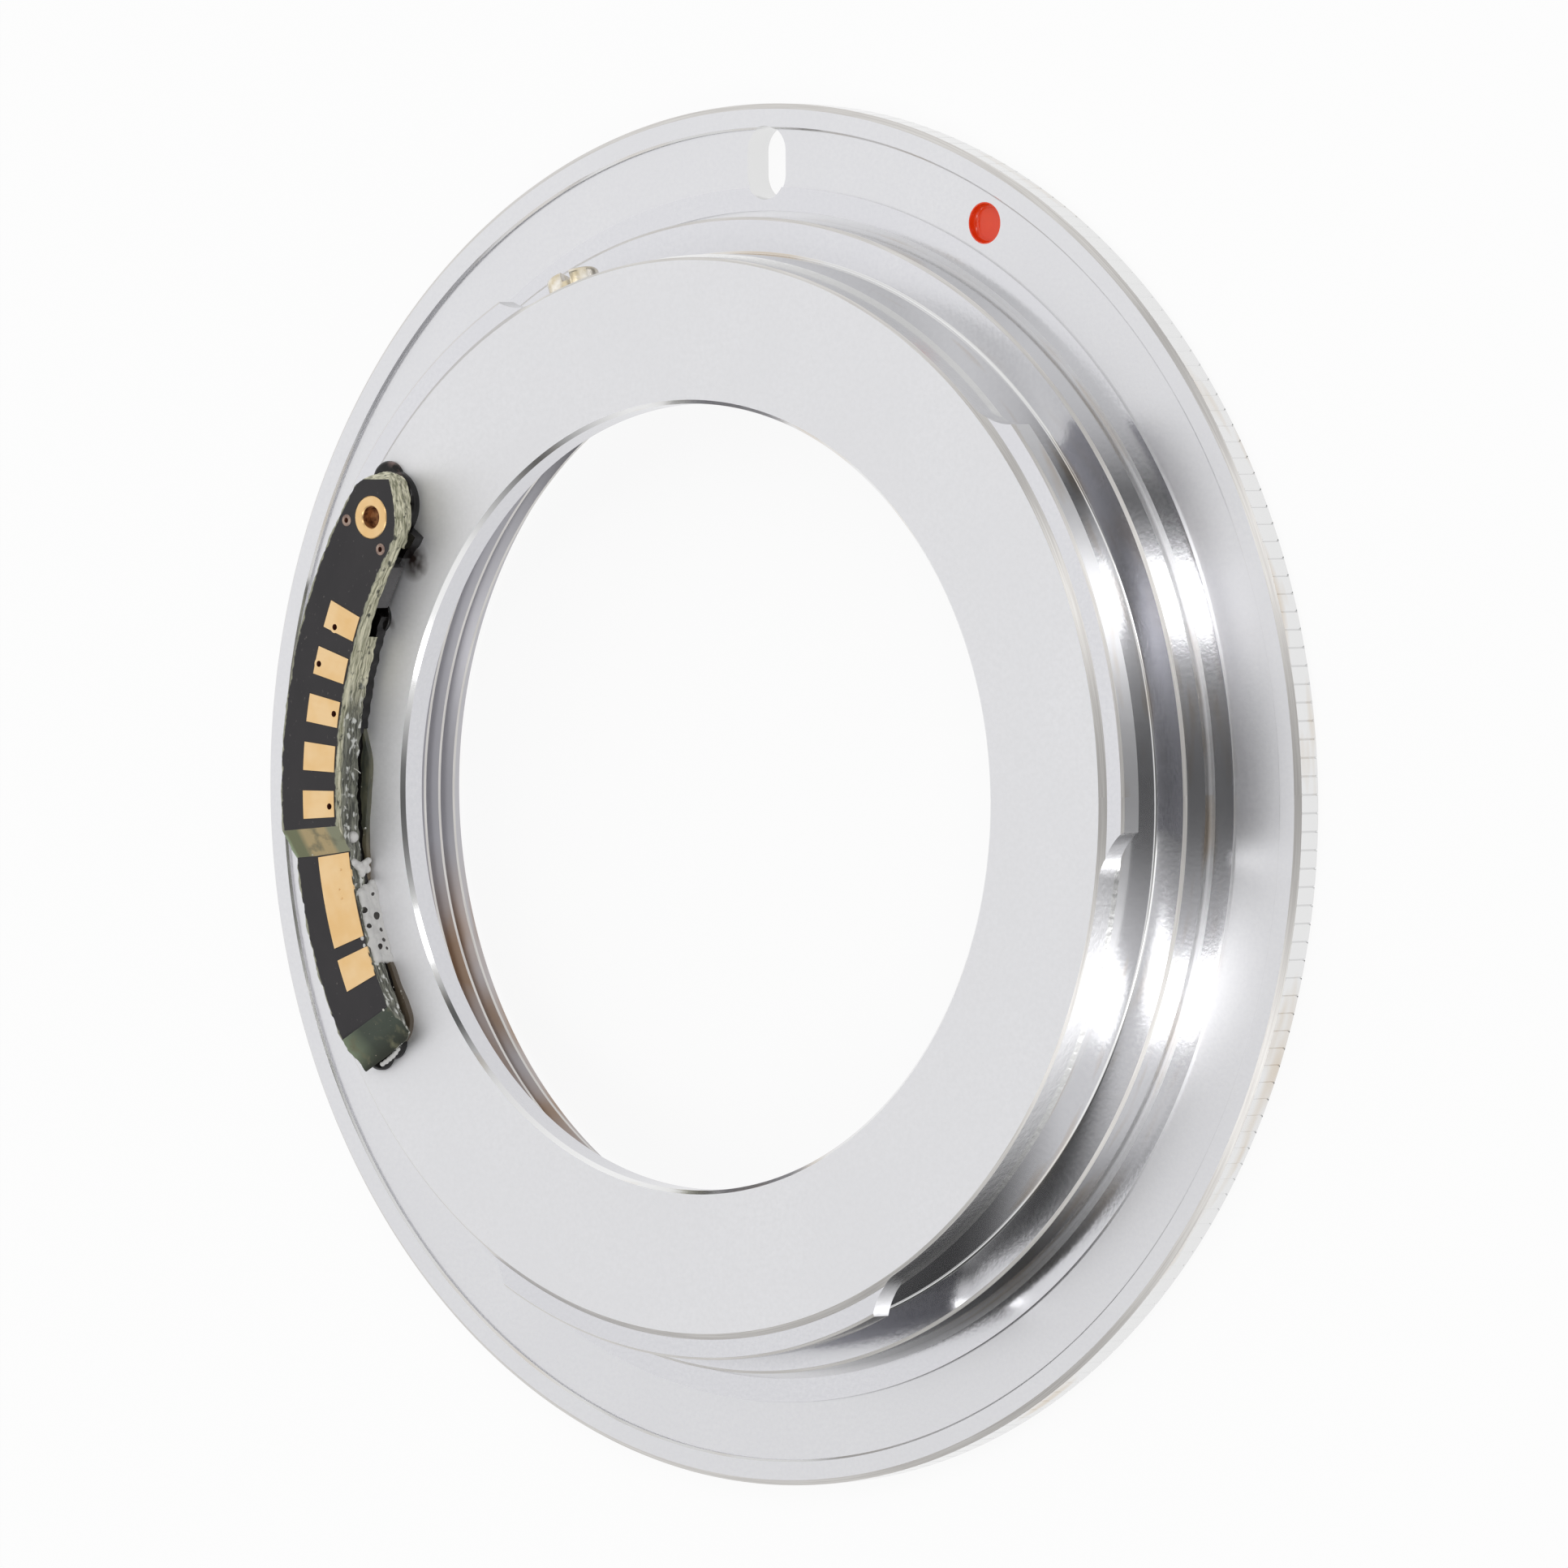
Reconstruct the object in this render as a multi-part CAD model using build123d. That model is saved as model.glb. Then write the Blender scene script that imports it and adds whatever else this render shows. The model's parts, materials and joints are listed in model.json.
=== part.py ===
from build123d import *
import math
import os

# Adapter ring that puts a 42 mm screw lens on a camera with a 54 mm bayonet.
# The axis is +Z, the lens side faces down and the camera side faces up.
# The origin is the centre of the lens-side face. Lengths are millimetres, and angles are degrees
# from +X towards +Y.

# Lens thread and flange
THREAD_DIAMETER = 42.0
BORE_CHAMFER = 0.25
FLANGE_THICKNESS = 1.46

# Camera-side flange, from the register collar outwards: a land, the turned seat and a raised rim
REGISTER_RADIUS = 27.0
LAND_WIDTH = 1.4
SEAT_WIDTH = 2.7
RIM_WIDTH = 1.2
LAND_STEP = 0.12
RIM_STEP = 0.2
RIM_CHAMFER = 0.25
KNURL_COUNT = 240
KNURL_DEPTH = 0.06
KNURL_WIDTH = 0.14

# Register collar that centres in the camera throat, with a relief groove at its foot
REGISTER_HEIGHT = 1.88
REGISTER_CHAMFER = 0.25
RELIEF_WIDTH = 0.3
RELIEF_DEPTH = 0.15

# Boss, its inward lip, and the bayonet lugs
SHOULDER_WIDTH = 1.75
BOSS_HEIGHT = 5.6
BOSS_CHAMFER = 0.28
LIP_WIDTH = 2.7
LIP_THICKNESS = 1.3
LIP_CHAMFER = 0.12
LUG_DEPTH = 0.95
LUG_THICKNESS = 1.1
LUG_CHAMFER = 0.12
LUG_SPANS = ((-3.5, 40.6), (117.4, 164.0), (241.5, 293.9))
LUG_MILL_RADIUS = 3.0
POCKET_BITE = 0.15

# Locking slot through the flange, and the red index dot
SLOT_ANGLE = 89.5
SLOT_SHIFT = 0.21
SLOT_LENGTH = 3.45
SLOT_WIDTH = 2.38
DOT_ANGLE = 62.6
DOT_RADIUS = 0.97
DOT_DEPTH = 0.5
ENAMEL_FLOOR = 0.1
ENAMEL_WALL = 0.06

# Slotted stop screw, set radially in the boss a few degrees before the second lug. The wall is
# what its tapped hole leaves in front of the lens thread.
SCREW_LEAD = 6.9
SCREW_HEIGHT = 3.3
SCREW_HEAD_RADIUS = 1.25
SCREW_HEAD_HEIGHT = 1.15
SCREW_SEAT_DEPTH = 0.25
SCREW_SHANK_RADIUS = 0.7
SCREW_WALL = 0.8
SCREW_SLOT_WIDTH = 0.45
SCREW_SLOT_DEPTH = 0.5
SCREW_SLOT_TURN = 25.0
SCREW_EDGE = 0.12

# Contact board: two laminates on a bed of epoxy, cut as an arc that follows the ring
BOARD_MARGIN = 1.1
BOARD_WIDTH = 3.5
BED_THICKNESS = 0.6
BASE_THICKNESS = 0.8
TOP_THICKNESS = 0.8
BOARD_START = 143.8
TOP_ARC = 39.9
BASE_ARC = 64.7
TOP_BEVEL_RUN = 1.3
BASE_BEVEL_RUN = 1.7
CORNER_CUT = 0.35
BED_INSET = 0.35

# Strip that carries the lower end of the board, level with the bottom of the bed
STRIP_LEAD = 27.2
STRIP_OVERRUN = 3.4
STRIP_THICKNESS = 0.25
STRIP_OVERHANG = 0.15

# Controller in a notch of the base laminate
NOTCH_LEAD = 2.2
NOTCH_ARC = 12.5
NOTCH_DEPTH = 2.2
CHIP_GAP = 0.9
CHIP_LENGTH = 2.2
CHIP_WIDTH = 1.7
CHIP_CLEARANCE = 0.35
CHIP_SETBACK = 0.1
CHIP_EDGE = 0.08
LEAD_COUNT = 3
LEAD_PITCH = 0.5
LEAD_WIDTH = 0.25
LEAD_REACH = 0.25
LEAD_THICKNESS = 0.15

# Capacitor in a closed window of the base laminate
WINDOW_LEAD = 22.2
WINDOW_CLEARANCE = 0.2
CAPACITOR_LENGTH = 1.0
CAPACITOR_WIDTH = 0.5
CAPACITOR_HEIGHT = 0.5

# Gold contacts, each let into the laminate and standing slightly proud
PAD_MARGIN = 0.13
PAD_LENGTH = 1.92
PAD_THICKNESS = 0.1
PAD_PROUD = 0.03
PAD_LEAD = 11.9
PAD_PITCH = 5.85
PAD_ARC = 3.4
PAD_COUNT = 5
LONG_PAD_GAP = 0.15
LONG_PAD_ARC = 11.2
END_PAD_GAP = 1.5
END_PAD_ARC = 4.0

# Plated holes in the square contacts: which contact, then the distance and the angle from its corner
VIA_RADIUS = 0.13
PAD_VIAS = ((0, 1.24, 2.8), (1, 1.68, 2.05), (2, 0.22, 1.7), (4, 0.22, 2.0))

# Eyelet contact at the round end, and the ringed vias beside it, placed from the eyelet's centre
EYELET_RADIUS = 1.02
EYELET_HOLE_RADIUS = 0.52
EYELET_FLOOR = 0.25
VIA_RING_RADIUS = 0.28
VIA_PLACES = ((1.22, 2.5), (-1.35, 2.4))

# Sealant squeezed out of the joint along the inner edge of the board
SEALANT_LEAD = 44.7
SEALANT_ARC = 13.3
SEALANT_REACH = 0.45
SEALANT_HEIGHT = 1.25

# Allowance by which cutting solids pass the surfaces that they cut
OVERCUT = 1.0

# Radii worked out from the sizes above
THREAD_RADIUS = THREAD_DIAMETER / 2
LIP_RADIUS = THREAD_RADIUS - LIP_WIDTH
SEAT_INNER_RADIUS = REGISTER_RADIUS + LAND_WIDTH
SEAT_OUTER_RADIUS = SEAT_INNER_RADIUS + SEAT_WIDTH
SEAT_MID_RADIUS = (SEAT_INNER_RADIUS + SEAT_OUTER_RADIUS) / 2
FLANGE_RADIUS = SEAT_OUTER_RADIUS + RIM_WIDTH
BOSS_RADIUS = REGISTER_RADIUS - SHOULDER_WIDTH
LUG_RADIUS = BOSS_RADIUS + LUG_DEPTH
BOARD_OUTER_RADIUS = BOSS_RADIUS - BOARD_MARGIN
BOARD_INNER_RADIUS = BOARD_OUTER_RADIUS - BOARD_WIDTH
BOARD_MID_RADIUS = (BOARD_INNER_RADIUS + BOARD_OUTER_RADIUS) / 2
PAD_INNER_RADIUS = BOARD_INNER_RADIUS + PAD_MARGIN

# Levels worked out from the sizes above
SEAT_LEVEL = FLANGE_THICKNESS
FACE_LEVEL = SEAT_LEVEL + BOSS_HEIGHT
REGISTER_LEVEL = SEAT_LEVEL + REGISTER_HEIGHT
LUG_TOP = FACE_LEVEL - BOSS_CHAMFER
LUG_BOTTOM = LUG_TOP - LUG_THICKNESS
LIP_BOTTOM = FACE_LEVEL - LIP_THICKNESS
BASE_LEVEL = FACE_LEVEL + BED_THICKNESS
TOP_LEVEL = BASE_LEVEL + BASE_THICKNESS
BOARD_LEVEL = TOP_LEVEL + TOP_THICKNESS
PAD_TOP = BOARD_LEVEL + PAD_PROUD

# Angles worked out from the sizes above
TOP_BEVEL_ARC = math.degrees(TOP_BEVEL_RUN / BOARD_MID_RADIUS)
BASE_BEVEL_ARC = math.degrees(BASE_BEVEL_RUN / BOARD_MID_RADIUS)
TOP_END = BOARD_START + TOP_ARC
BASE_END = BOARD_START + BASE_ARC
NOTCH_START = BOARD_START + NOTCH_LEAD
NOTCH_END = NOTCH_START + NOTCH_ARC
CHIP_ANGLE = NOTCH_START + math.degrees((CHIP_GAP + CHIP_LENGTH / 2) / BOARD_INNER_RADIUS)
LONG_PAD_START = TOP_END + TOP_BEVEL_ARC + LONG_PAD_GAP
END_PAD_START = LONG_PAD_START + LONG_PAD_ARC + END_PAD_GAP

# The usual ways that a plain solid is set against its frame
ON_LEVEL = (Align.CENTER, Align.CENTER, Align.MIN)
UNDER_LEVEL = (Align.CENTER, Align.CENTER, Align.MAX)


def polar(radius, degrees):
    """Point on the plan at a radius and an angle."""
    turn = math.radians(degrees)
    return (radius * math.cos(turn), radius * math.sin(turn))


def sector(inner, outer, start, end, bottom, top):
    """Slab between two radii and two angles."""
    middle = (start + end) / 2
    with BuildPart() as slab:
        with BuildSketch(Plane.XY.offset(bottom)):
            with BuildLine():
                ThreePointArc(polar(outer, start), polar(outer, middle), polar(outer, end))
                Line(polar(outer, end), polar(inner, end))
                ThreePointArc(polar(inner, end), polar(inner, middle), polar(inner, start))
                Line(polar(inner, start), polar(outer, start))
            make_face()
        extrude(amount=top - bottom)
    return slab.part


def prism(outline, bottom, top):
    """Upright block on a plan outline."""
    with BuildPart() as block:
        with BuildSketch(Plane.XY.offset(bottom)):
            Polygon(*outline, align=None)
        extrude(amount=top - bottom)
    return block.part


def post(radius, degrees, size, bottom, top):
    """Round post of a given radius that stands at a place on the plan."""
    x, y = polar(radius, degrees)
    return Pos(x, y, bottom) * Cylinder(size, top - bottom, align=ON_LEVEL)


def along_board(radius, degrees, level):
    """Frame on the board, with X outwards and Y along the arc."""
    x, y = polar(radius, degrees)
    return Pos(x, y, level) * Rot(0, 0, degrees)


def body_profile():
    """Half section of the turned ring, from the lens side round to the lip."""
    rim_level = SEAT_LEVEL + RIM_STEP
    land_level = SEAT_LEVEL + LAND_STEP
    relief_radius = REGISTER_RADIUS + RELIEF_WIDTH
    relief_level = land_level - RELIEF_DEPTH
    return [
        (THREAD_RADIUS + BORE_CHAMFER, 0),
        (FLANGE_RADIUS - RIM_CHAMFER, 0),
        (FLANGE_RADIUS, RIM_CHAMFER),
        (FLANGE_RADIUS, rim_level - RIM_CHAMFER),
        (FLANGE_RADIUS - RIM_CHAMFER, rim_level),
        (SEAT_OUTER_RADIUS, rim_level),
        (SEAT_OUTER_RADIUS, SEAT_LEVEL),
        (SEAT_INNER_RADIUS, SEAT_LEVEL),
        (SEAT_INNER_RADIUS, land_level),
        (relief_radius, land_level),
        (relief_radius, relief_level),
        (REGISTER_RADIUS, relief_level),
        (REGISTER_RADIUS, REGISTER_LEVEL - REGISTER_CHAMFER),
        (REGISTER_RADIUS - REGISTER_CHAMFER, REGISTER_LEVEL),
        (BOSS_RADIUS, REGISTER_LEVEL),
        (BOSS_RADIUS, LUG_BOTTOM),
        (LUG_RADIUS, LUG_BOTTOM),
        (LUG_RADIUS, LUG_TOP - LUG_CHAMFER),
        (LUG_RADIUS - LUG_CHAMFER, LUG_TOP),
        (BOSS_RADIUS, LUG_TOP),
        (BOSS_RADIUS - BOSS_CHAMFER, FACE_LEVEL),
        (LIP_RADIUS + LIP_CHAMFER, FACE_LEVEL),
        (LIP_RADIUS, FACE_LEVEL - LIP_CHAMFER),
        (LIP_RADIUS, LIP_BOTTOM),
        (THREAD_RADIUS, LIP_BOTTOM),
        (THREAD_RADIUS, BORE_CHAMFER),
    ]


def knurled_blank():
    """Disc with fine upright grooves round its edge, which trims the rim."""
    step = 360 / KNURL_COUNT
    half = math.degrees(KNURL_WIDTH / 2 / FLANGE_RADIUS)
    outline = []
    for tooth in range(KNURL_COUNT):
        middle = tooth * step
        outline.append(polar(FLANGE_RADIUS, middle - half))
        outline.append(polar(FLANGE_RADIUS - KNURL_DEPTH, middle))
        outline.append(polar(FLANGE_RADIUS, middle + half))
    return prism(outline, -OVERCUT, FACE_LEVEL + OVERCUT)


def lug_gap(start, end):
    """Path of the end mill that clears the space between two lugs."""
    pocket_radius = BOSS_RADIUS - POCKET_BITE
    mill_path = pocket_radius + LUG_MILL_RADIUS
    reach = (mill_path**2 + LUG_RADIUS**2 - LUG_MILL_RADIUS**2) / (2 * mill_path * LUG_RADIUS)
    swing = math.degrees(math.acos(reach))
    first = start + swing
    last = end - swing
    top = FACE_LEVEL + OVERCUT
    cut = sector(pocket_radius, mill_path + LUG_MILL_RADIUS, first, last, LUG_BOTTOM, top)
    for angle in (first, last):
        cut += post(mill_path, angle, LUG_MILL_RADIUS, LUG_BOTTOM, top)
    return cut


def lug_gaps():
    """All the spaces between the lugs, each from the end of one lug to the start of the next."""
    cuts = []
    for index, span in enumerate(LUG_SPANS):
        following = LUG_SPANS[(index + 1) % len(LUG_SPANS)][0]
        if following < span[1]:
            following += 360
        cuts.append(lug_gap(span[1], following))
    return cuts


def lock_slot():
    """Round-ended slot, long in the radial direction, for the camera's locking pin."""
    place = Location((*polar(SEAT_MID_RADIUS - SLOT_SHIFT, SLOT_ANGLE), 0), (0, 0, SLOT_ANGLE))
    with BuildPart() as slot:
        with BuildSketch(Plane.XY.offset(-OVERCUT)):
            with Locations(place):
                SlotOverall(SLOT_LENGTH, SLOT_WIDTH)
        extrude(amount=FLANGE_THICKNESS + 2 * OVERCUT)
    return slot.part


def dot_post(radius, bottom, top):
    """Round post at the place of the index dot."""
    return post(SEAT_MID_RADIUS, DOT_ANGLE, radius, bottom, top)


def screw_frame():
    """Frame of the stop screw, with Z pointing out along the screw from its seat."""
    angle = LUG_SPANS[1][0] - SCREW_LEAD
    x, y = polar(BOSS_RADIUS - SCREW_SEAT_DEPTH, angle)
    origin = (x, y, SEAT_LEVEL + SCREW_HEIGHT)
    return Plane(origin=origin, x_dir=(0, 0, 1), z_dir=(*polar(1, angle), 0))


def screw_shank():
    """Threaded end of the stop screw, which stops short of the lens thread."""
    length = BOSS_RADIUS - SCREW_SEAT_DEPTH - THREAD_RADIUS - SCREW_WALL
    return Cylinder(SCREW_SHANK_RADIUS, length, align=UNDER_LEVEL)


def adapter_body():
    """The one-piece turned and milled ring."""
    with BuildPart() as turned:
        with BuildSketch(Plane.XZ):
            Polygon(*body_profile(), align=None)
        revolve(axis=Axis.Z)
    body = turned.part & knurled_blank()
    for cut in lug_gaps():
        body -= cut
    body -= lock_slot()
    body -= dot_post(DOT_RADIUS, SEAT_LEVEL - DOT_DEPTH, SEAT_LEVEL + OVERCUT)
    spot_face = Cylinder(SCREW_HEAD_RADIUS, SCREW_SEAT_DEPTH + OVERCUT, align=ON_LEVEL)
    body -= screw_frame() * (spot_face + screw_shank())
    return body


def index_dot():
    """Red enamel on the floor and the wall of the index recess."""
    bottom = SEAT_LEVEL - DOT_DEPTH
    enamel = dot_post(DOT_RADIUS, bottom, SEAT_LEVEL)
    return enamel - dot_post(DOT_RADIUS - ENAMEL_WALL, bottom + ENAMEL_FLOOR, SEAT_LEVEL + OVERCUT)


def stop_screw():
    """Slotted screw whose head stops the adapter as it turns home."""
    head = Cylinder(SCREW_HEAD_RADIUS, SCREW_HEAD_HEIGHT, align=ON_LEVEL)
    head = chamfer(head.edges().group_by(Axis.Z)[-1], SCREW_EDGE)
    slot = Box(2 * SCREW_HEAD_RADIUS + OVERCUT, SCREW_SLOT_WIDTH, SCREW_SLOT_DEPTH, align=UNDER_LEVEL)
    slot = Pos(0, 0, SCREW_HEAD_HEIGHT) * Rot(0, 0, SCREW_SLOT_TURN) * slot
    return screw_frame() * (head + screw_shank() - slot)


def laminate(end, bottom, thickness, inset=0.0):
    """Arc of board with a round end."""
    inner = BOARD_INNER_RADIUS + inset
    outer = BOARD_OUTER_RADIUS - inset
    top = bottom + thickness
    arc = sector(inner, outer, BOARD_START, end, bottom, top)
    return arc + post(BOARD_MID_RADIUS, BOARD_START, (outer - inner) / 2, bottom, top)


def bevel_cut(degrees, top, thickness, run):
    """Wedge that files the end of a laminate from a top edge down to its lower face."""
    slope = run / thickness
    low = -thickness - OVERCUT
    far = 2 * run + slope * OVERCUT
    outline = [(-slope * OVERCUT, OVERCUT), (-slope * low, low), (far, low), (far, OVERCUT)]
    with BuildPart() as wedge:
        with BuildSketch(Plane.YZ):
            Polygon(*outline, align=None)
        extrude(amount=BOARD_WIDTH / 2 + OVERCUT, both=True)
    return along_board(BOARD_MID_RADIUS, degrees, top) * wedge.part


def corner_cut(bottom, top):
    """Oblique cut that takes off the small inner corner at the bevelled end of a laminate."""
    tip = BASE_END + BASE_BEVEL_ARC
    run = math.degrees(CORNER_CUT / BOARD_INNER_RADIUS)
    inside = BOARD_INNER_RADIUS - OVERCUT
    across = BOARD_INNER_RADIUS + CORNER_CUT
    outline = [
        polar(inside, tip - 2 * run),
        polar(across, tip),
        polar(across, tip + run),
        polar(inside, tip + run),
    ]
    return prism(outline, bottom, top)


def pad(start, arc, level):
    """Gold contact let into the laminate whose top is at a level."""
    top = level + PAD_PROUD
    outer = PAD_INNER_RADIUS + PAD_LENGTH
    return sector(PAD_INNER_RADIUS, outer, start, start + arc, top - PAD_THICKNESS, top)


def square_pad(index):
    """Blank of one of the square contacts."""
    return pad(BOARD_START + PAD_LEAD + index * PAD_PITCH, PAD_ARC, BOARD_LEVEL)


def pad_via(index, distance, degrees):
    """Plated hole through a square contact and the top laminate."""
    angle = BOARD_START + PAD_LEAD + index * PAD_PITCH + degrees
    return post(PAD_INNER_RADIUS + distance, angle, VIA_RADIUS, TOP_LEVEL, BOARD_LEVEL + OVERCUT)


def contact_pad(index):
    """One of the square contacts, with its via hole where it has one."""
    piece = square_pad(index)
    for via in PAD_VIAS:
        if via[0] == index:
            piece -= pad_via(*via)
    return piece


def ringed_post(offset, degrees, size, bottom, top):
    """Round post at the place of a ringed via, given from the centre of the board's round end."""
    return post(BOARD_MID_RADIUS + offset, BOARD_START + degrees, size, bottom, top)


def via_ring(place):
    """Small plated ring round a via hole."""
    ring = ringed_post(*place, VIA_RING_RADIUS, PAD_TOP - PAD_THICKNESS, PAD_TOP)
    return ring - ringed_post(*place, VIA_RADIUS, TOP_LEVEL, PAD_TOP + OVERCUT)


def eyelet_blank():
    """Round pad and barrel of the eyelet contact, with no hole."""
    barrel = EYELET_HOLE_RADIUS + PAD_THICKNESS
    blank = post(BOARD_MID_RADIUS, BOARD_START, EYELET_RADIUS, PAD_TOP - PAD_THICKNESS, PAD_TOP)
    return blank + post(BOARD_MID_RADIUS, BOARD_START, barrel, TOP_LEVEL, PAD_TOP)


def eyelet_contact():
    """Gold eyelet with a blind hole."""
    floor = TOP_LEVEL + EYELET_FLOOR
    hole = post(BOARD_MID_RADIUS, BOARD_START, EYELET_HOLE_RADIUS, floor, PAD_TOP + OVERCUT)
    return eyelet_blank() - hole


def top_board():
    """Upper laminate, with seats for its contacts and holes for its vias."""
    board = laminate(TOP_END + TOP_BEVEL_ARC, TOP_LEVEL, TOP_THICKNESS)
    board -= bevel_cut(TOP_END, BOARD_LEVEL, TOP_THICKNESS, TOP_BEVEL_RUN)
    board -= eyelet_blank()
    for index in range(PAD_COUNT):
        board -= square_pad(index)
    for via in PAD_VIAS:
        board -= pad_via(*via)
    for place in VIA_PLACES:
        board -= ringed_post(*place, VIA_RING_RADIUS, PAD_TOP - PAD_THICKNESS, PAD_TOP)
        board -= ringed_post(*place, VIA_RADIUS, TOP_LEVEL, PAD_TOP)
    return board


def capacitor(clearance=0.0):
    """Ceramic capacitor under the top laminate, or the window round it."""
    width = CAPACITOR_WIDTH + 2 * clearance
    length = CAPACITOR_LENGTH + 2 * clearance
    height = CAPACITOR_HEIGHT if clearance == 0 else BASE_THICKNESS
    block = Box(width, length, height, align=UNDER_LEVEL)
    return along_board(BOARD_MID_RADIUS, BOARD_START + WINDOW_LEAD, TOP_LEVEL) * block


def base_board():
    """Lower laminate, with the notch for the controller and the window for the capacitor."""
    inside = BOARD_INNER_RADIUS - OVERCUT
    outside = BOARD_INNER_RADIUS + NOTCH_DEPTH
    notch = sector(inside, outside, NOTCH_START, NOTCH_END, BASE_LEVEL, TOP_LEVEL)
    board = laminate(BASE_END + BASE_BEVEL_ARC, BASE_LEVEL, BASE_THICKNESS)
    board -= bevel_cut(BASE_END, TOP_LEVEL, BASE_THICKNESS, BASE_BEVEL_RUN)
    board -= corner_cut(BASE_LEVEL, TOP_LEVEL)
    board -= notch
    board -= capacitor(WINDOW_CLEARANCE)
    board -= long_contact()
    board -= end_contact()
    return board


def long_contact():
    """Long gold contact on the base laminate."""
    return pad(LONG_PAD_START, LONG_PAD_ARC, TOP_LEVEL)


def end_contact():
    """Short gold contact at the bevelled end of the base laminate."""
    return pad(END_PAD_START, END_PAD_ARC, TOP_LEVEL)


def chip_package():
    """Moulded package of the controller, which hangs under the top laminate in the notch."""
    height = BASE_THICKNESS + BED_THICKNESS - CHIP_CLEARANCE
    package = Box(CHIP_WIDTH, CHIP_LENGTH, height, align=UNDER_LEVEL)
    return chamfer(package.edges().group_by(Axis.Z)[0], CHIP_EDGE)


def chip_frame():
    """Frame at the middle of the controller's top face."""
    return along_board(BOARD_INNER_RADIUS + CHIP_SETBACK + CHIP_WIDTH / 2, CHIP_ANGLE, TOP_LEVEL)


def microcontroller():
    """Controller with its flat leads soldered to the top laminate."""
    chip = chip_package()
    span = CHIP_LENGTH + 2 * LEAD_REACH
    for index in range(LEAD_COUNT):
        offset = (index - (LEAD_COUNT - 1) / 2) * LEAD_PITCH
        chip += Pos(offset, 0, 0) * Box(LEAD_WIDTH, span, LEAD_THICKNESS, align=UNDER_LEVEL)
    return chip_frame() * chip


def carrier_strip():
    """Thin fibreglass strip on the ring's face under the lower end of the board."""
    inner = BOARD_INNER_RADIUS - STRIP_OVERHANG
    outer = BOARD_OUTER_RADIUS - BED_INSET
    start = BOARD_START + STRIP_LEAD
    end = BASE_END + STRIP_OVERRUN
    return sector(inner, outer, start, end, FACE_LEVEL, FACE_LEVEL + STRIP_THICKNESS)


def adhesive_bed():
    """Black epoxy between the ring's face and the board, shaped round what it covers."""
    bed = laminate(BASE_END, FACE_LEVEL, BED_THICKNESS, BED_INSET)
    bed -= carrier_strip()
    return bed - chip_frame() * chip_package()


def sealant_bead():
    """Pale sealant along the inner foot of the board, a wedge from the face up the board's edge."""
    strip_radius = BOARD_INNER_RADIUS - STRIP_OVERHANG
    top = FACE_LEVEL + SEALANT_HEIGHT
    outline = [
        (strip_radius - SEALANT_REACH, FACE_LEVEL),
        (BOARD_INNER_RADIUS, FACE_LEVEL),
        (BOARD_INNER_RADIUS, top),
        (strip_radius, top),
    ]
    with BuildPart() as bead:
        with BuildSketch(Plane.XZ):
            Polygon(*outline, align=None)
        revolve(axis=Axis.Z, revolution_arc=SEALANT_ARC)
    return Rot(0, 0, BOARD_START + SEALANT_LEAD) * bead.part - carrier_strip()


def parts():
    """Every piece under the name of its node."""
    pieces = {
        "adapter_body": adapter_body(),
        "index_dot": index_dot(),
        "stop_screw": stop_screw(),
        "top_board": top_board(),
        "base_board": base_board(),
        "carrier_strip": carrier_strip(),
        "adhesive_bed": adhesive_bed(),
        "sealant_bead": sealant_bead(),
        "microcontroller": microcontroller(),
        "ceramic_capacitor": capacitor(),
        "eyelet_contact": eyelet_contact(),
        "long_contact": long_contact(),
        "end_contact": end_contact(),
    }
    for index in range(PAD_COUNT):
        pieces[f"contact_pad_{index + 1}"] = contact_pad(index)
    for index, place in enumerate(VIA_PLACES):
        pieces[f"via_ring_{index + 1}"] = via_ring(place)
    return pieces


os.makedirs("parts", exist_ok=True)
for name, piece in parts().items():
    export_step(piece, f"parts/{name}.step")
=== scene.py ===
import json
import math
import random

import bmesh
import bpy
from mathutils import Matrix, Vector, noise
from mathutils.geometry import interpolate_bezier

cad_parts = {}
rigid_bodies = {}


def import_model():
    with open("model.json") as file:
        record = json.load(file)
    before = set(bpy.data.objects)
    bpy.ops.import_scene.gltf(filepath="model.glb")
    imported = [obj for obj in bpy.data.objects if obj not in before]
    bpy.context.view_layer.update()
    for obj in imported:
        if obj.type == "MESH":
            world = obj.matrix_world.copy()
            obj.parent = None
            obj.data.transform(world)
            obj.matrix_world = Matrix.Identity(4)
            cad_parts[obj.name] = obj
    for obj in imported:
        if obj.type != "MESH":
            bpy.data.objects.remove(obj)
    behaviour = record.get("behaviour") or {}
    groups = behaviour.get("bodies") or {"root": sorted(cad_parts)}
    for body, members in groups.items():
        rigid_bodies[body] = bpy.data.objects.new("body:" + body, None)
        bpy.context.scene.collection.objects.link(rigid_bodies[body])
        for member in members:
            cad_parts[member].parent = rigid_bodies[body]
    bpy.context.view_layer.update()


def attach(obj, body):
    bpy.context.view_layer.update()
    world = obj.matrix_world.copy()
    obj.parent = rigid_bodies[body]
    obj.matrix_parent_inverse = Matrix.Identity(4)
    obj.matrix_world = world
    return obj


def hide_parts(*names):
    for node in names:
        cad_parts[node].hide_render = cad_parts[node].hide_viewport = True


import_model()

# The adapter's looks. Meshes are drawn in millimetres and turned to metres as each piece is finished.
# Angles are degrees from +X towards +Y, and heights are above the lens face, as in the solid model.
MM = 0.001

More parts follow.
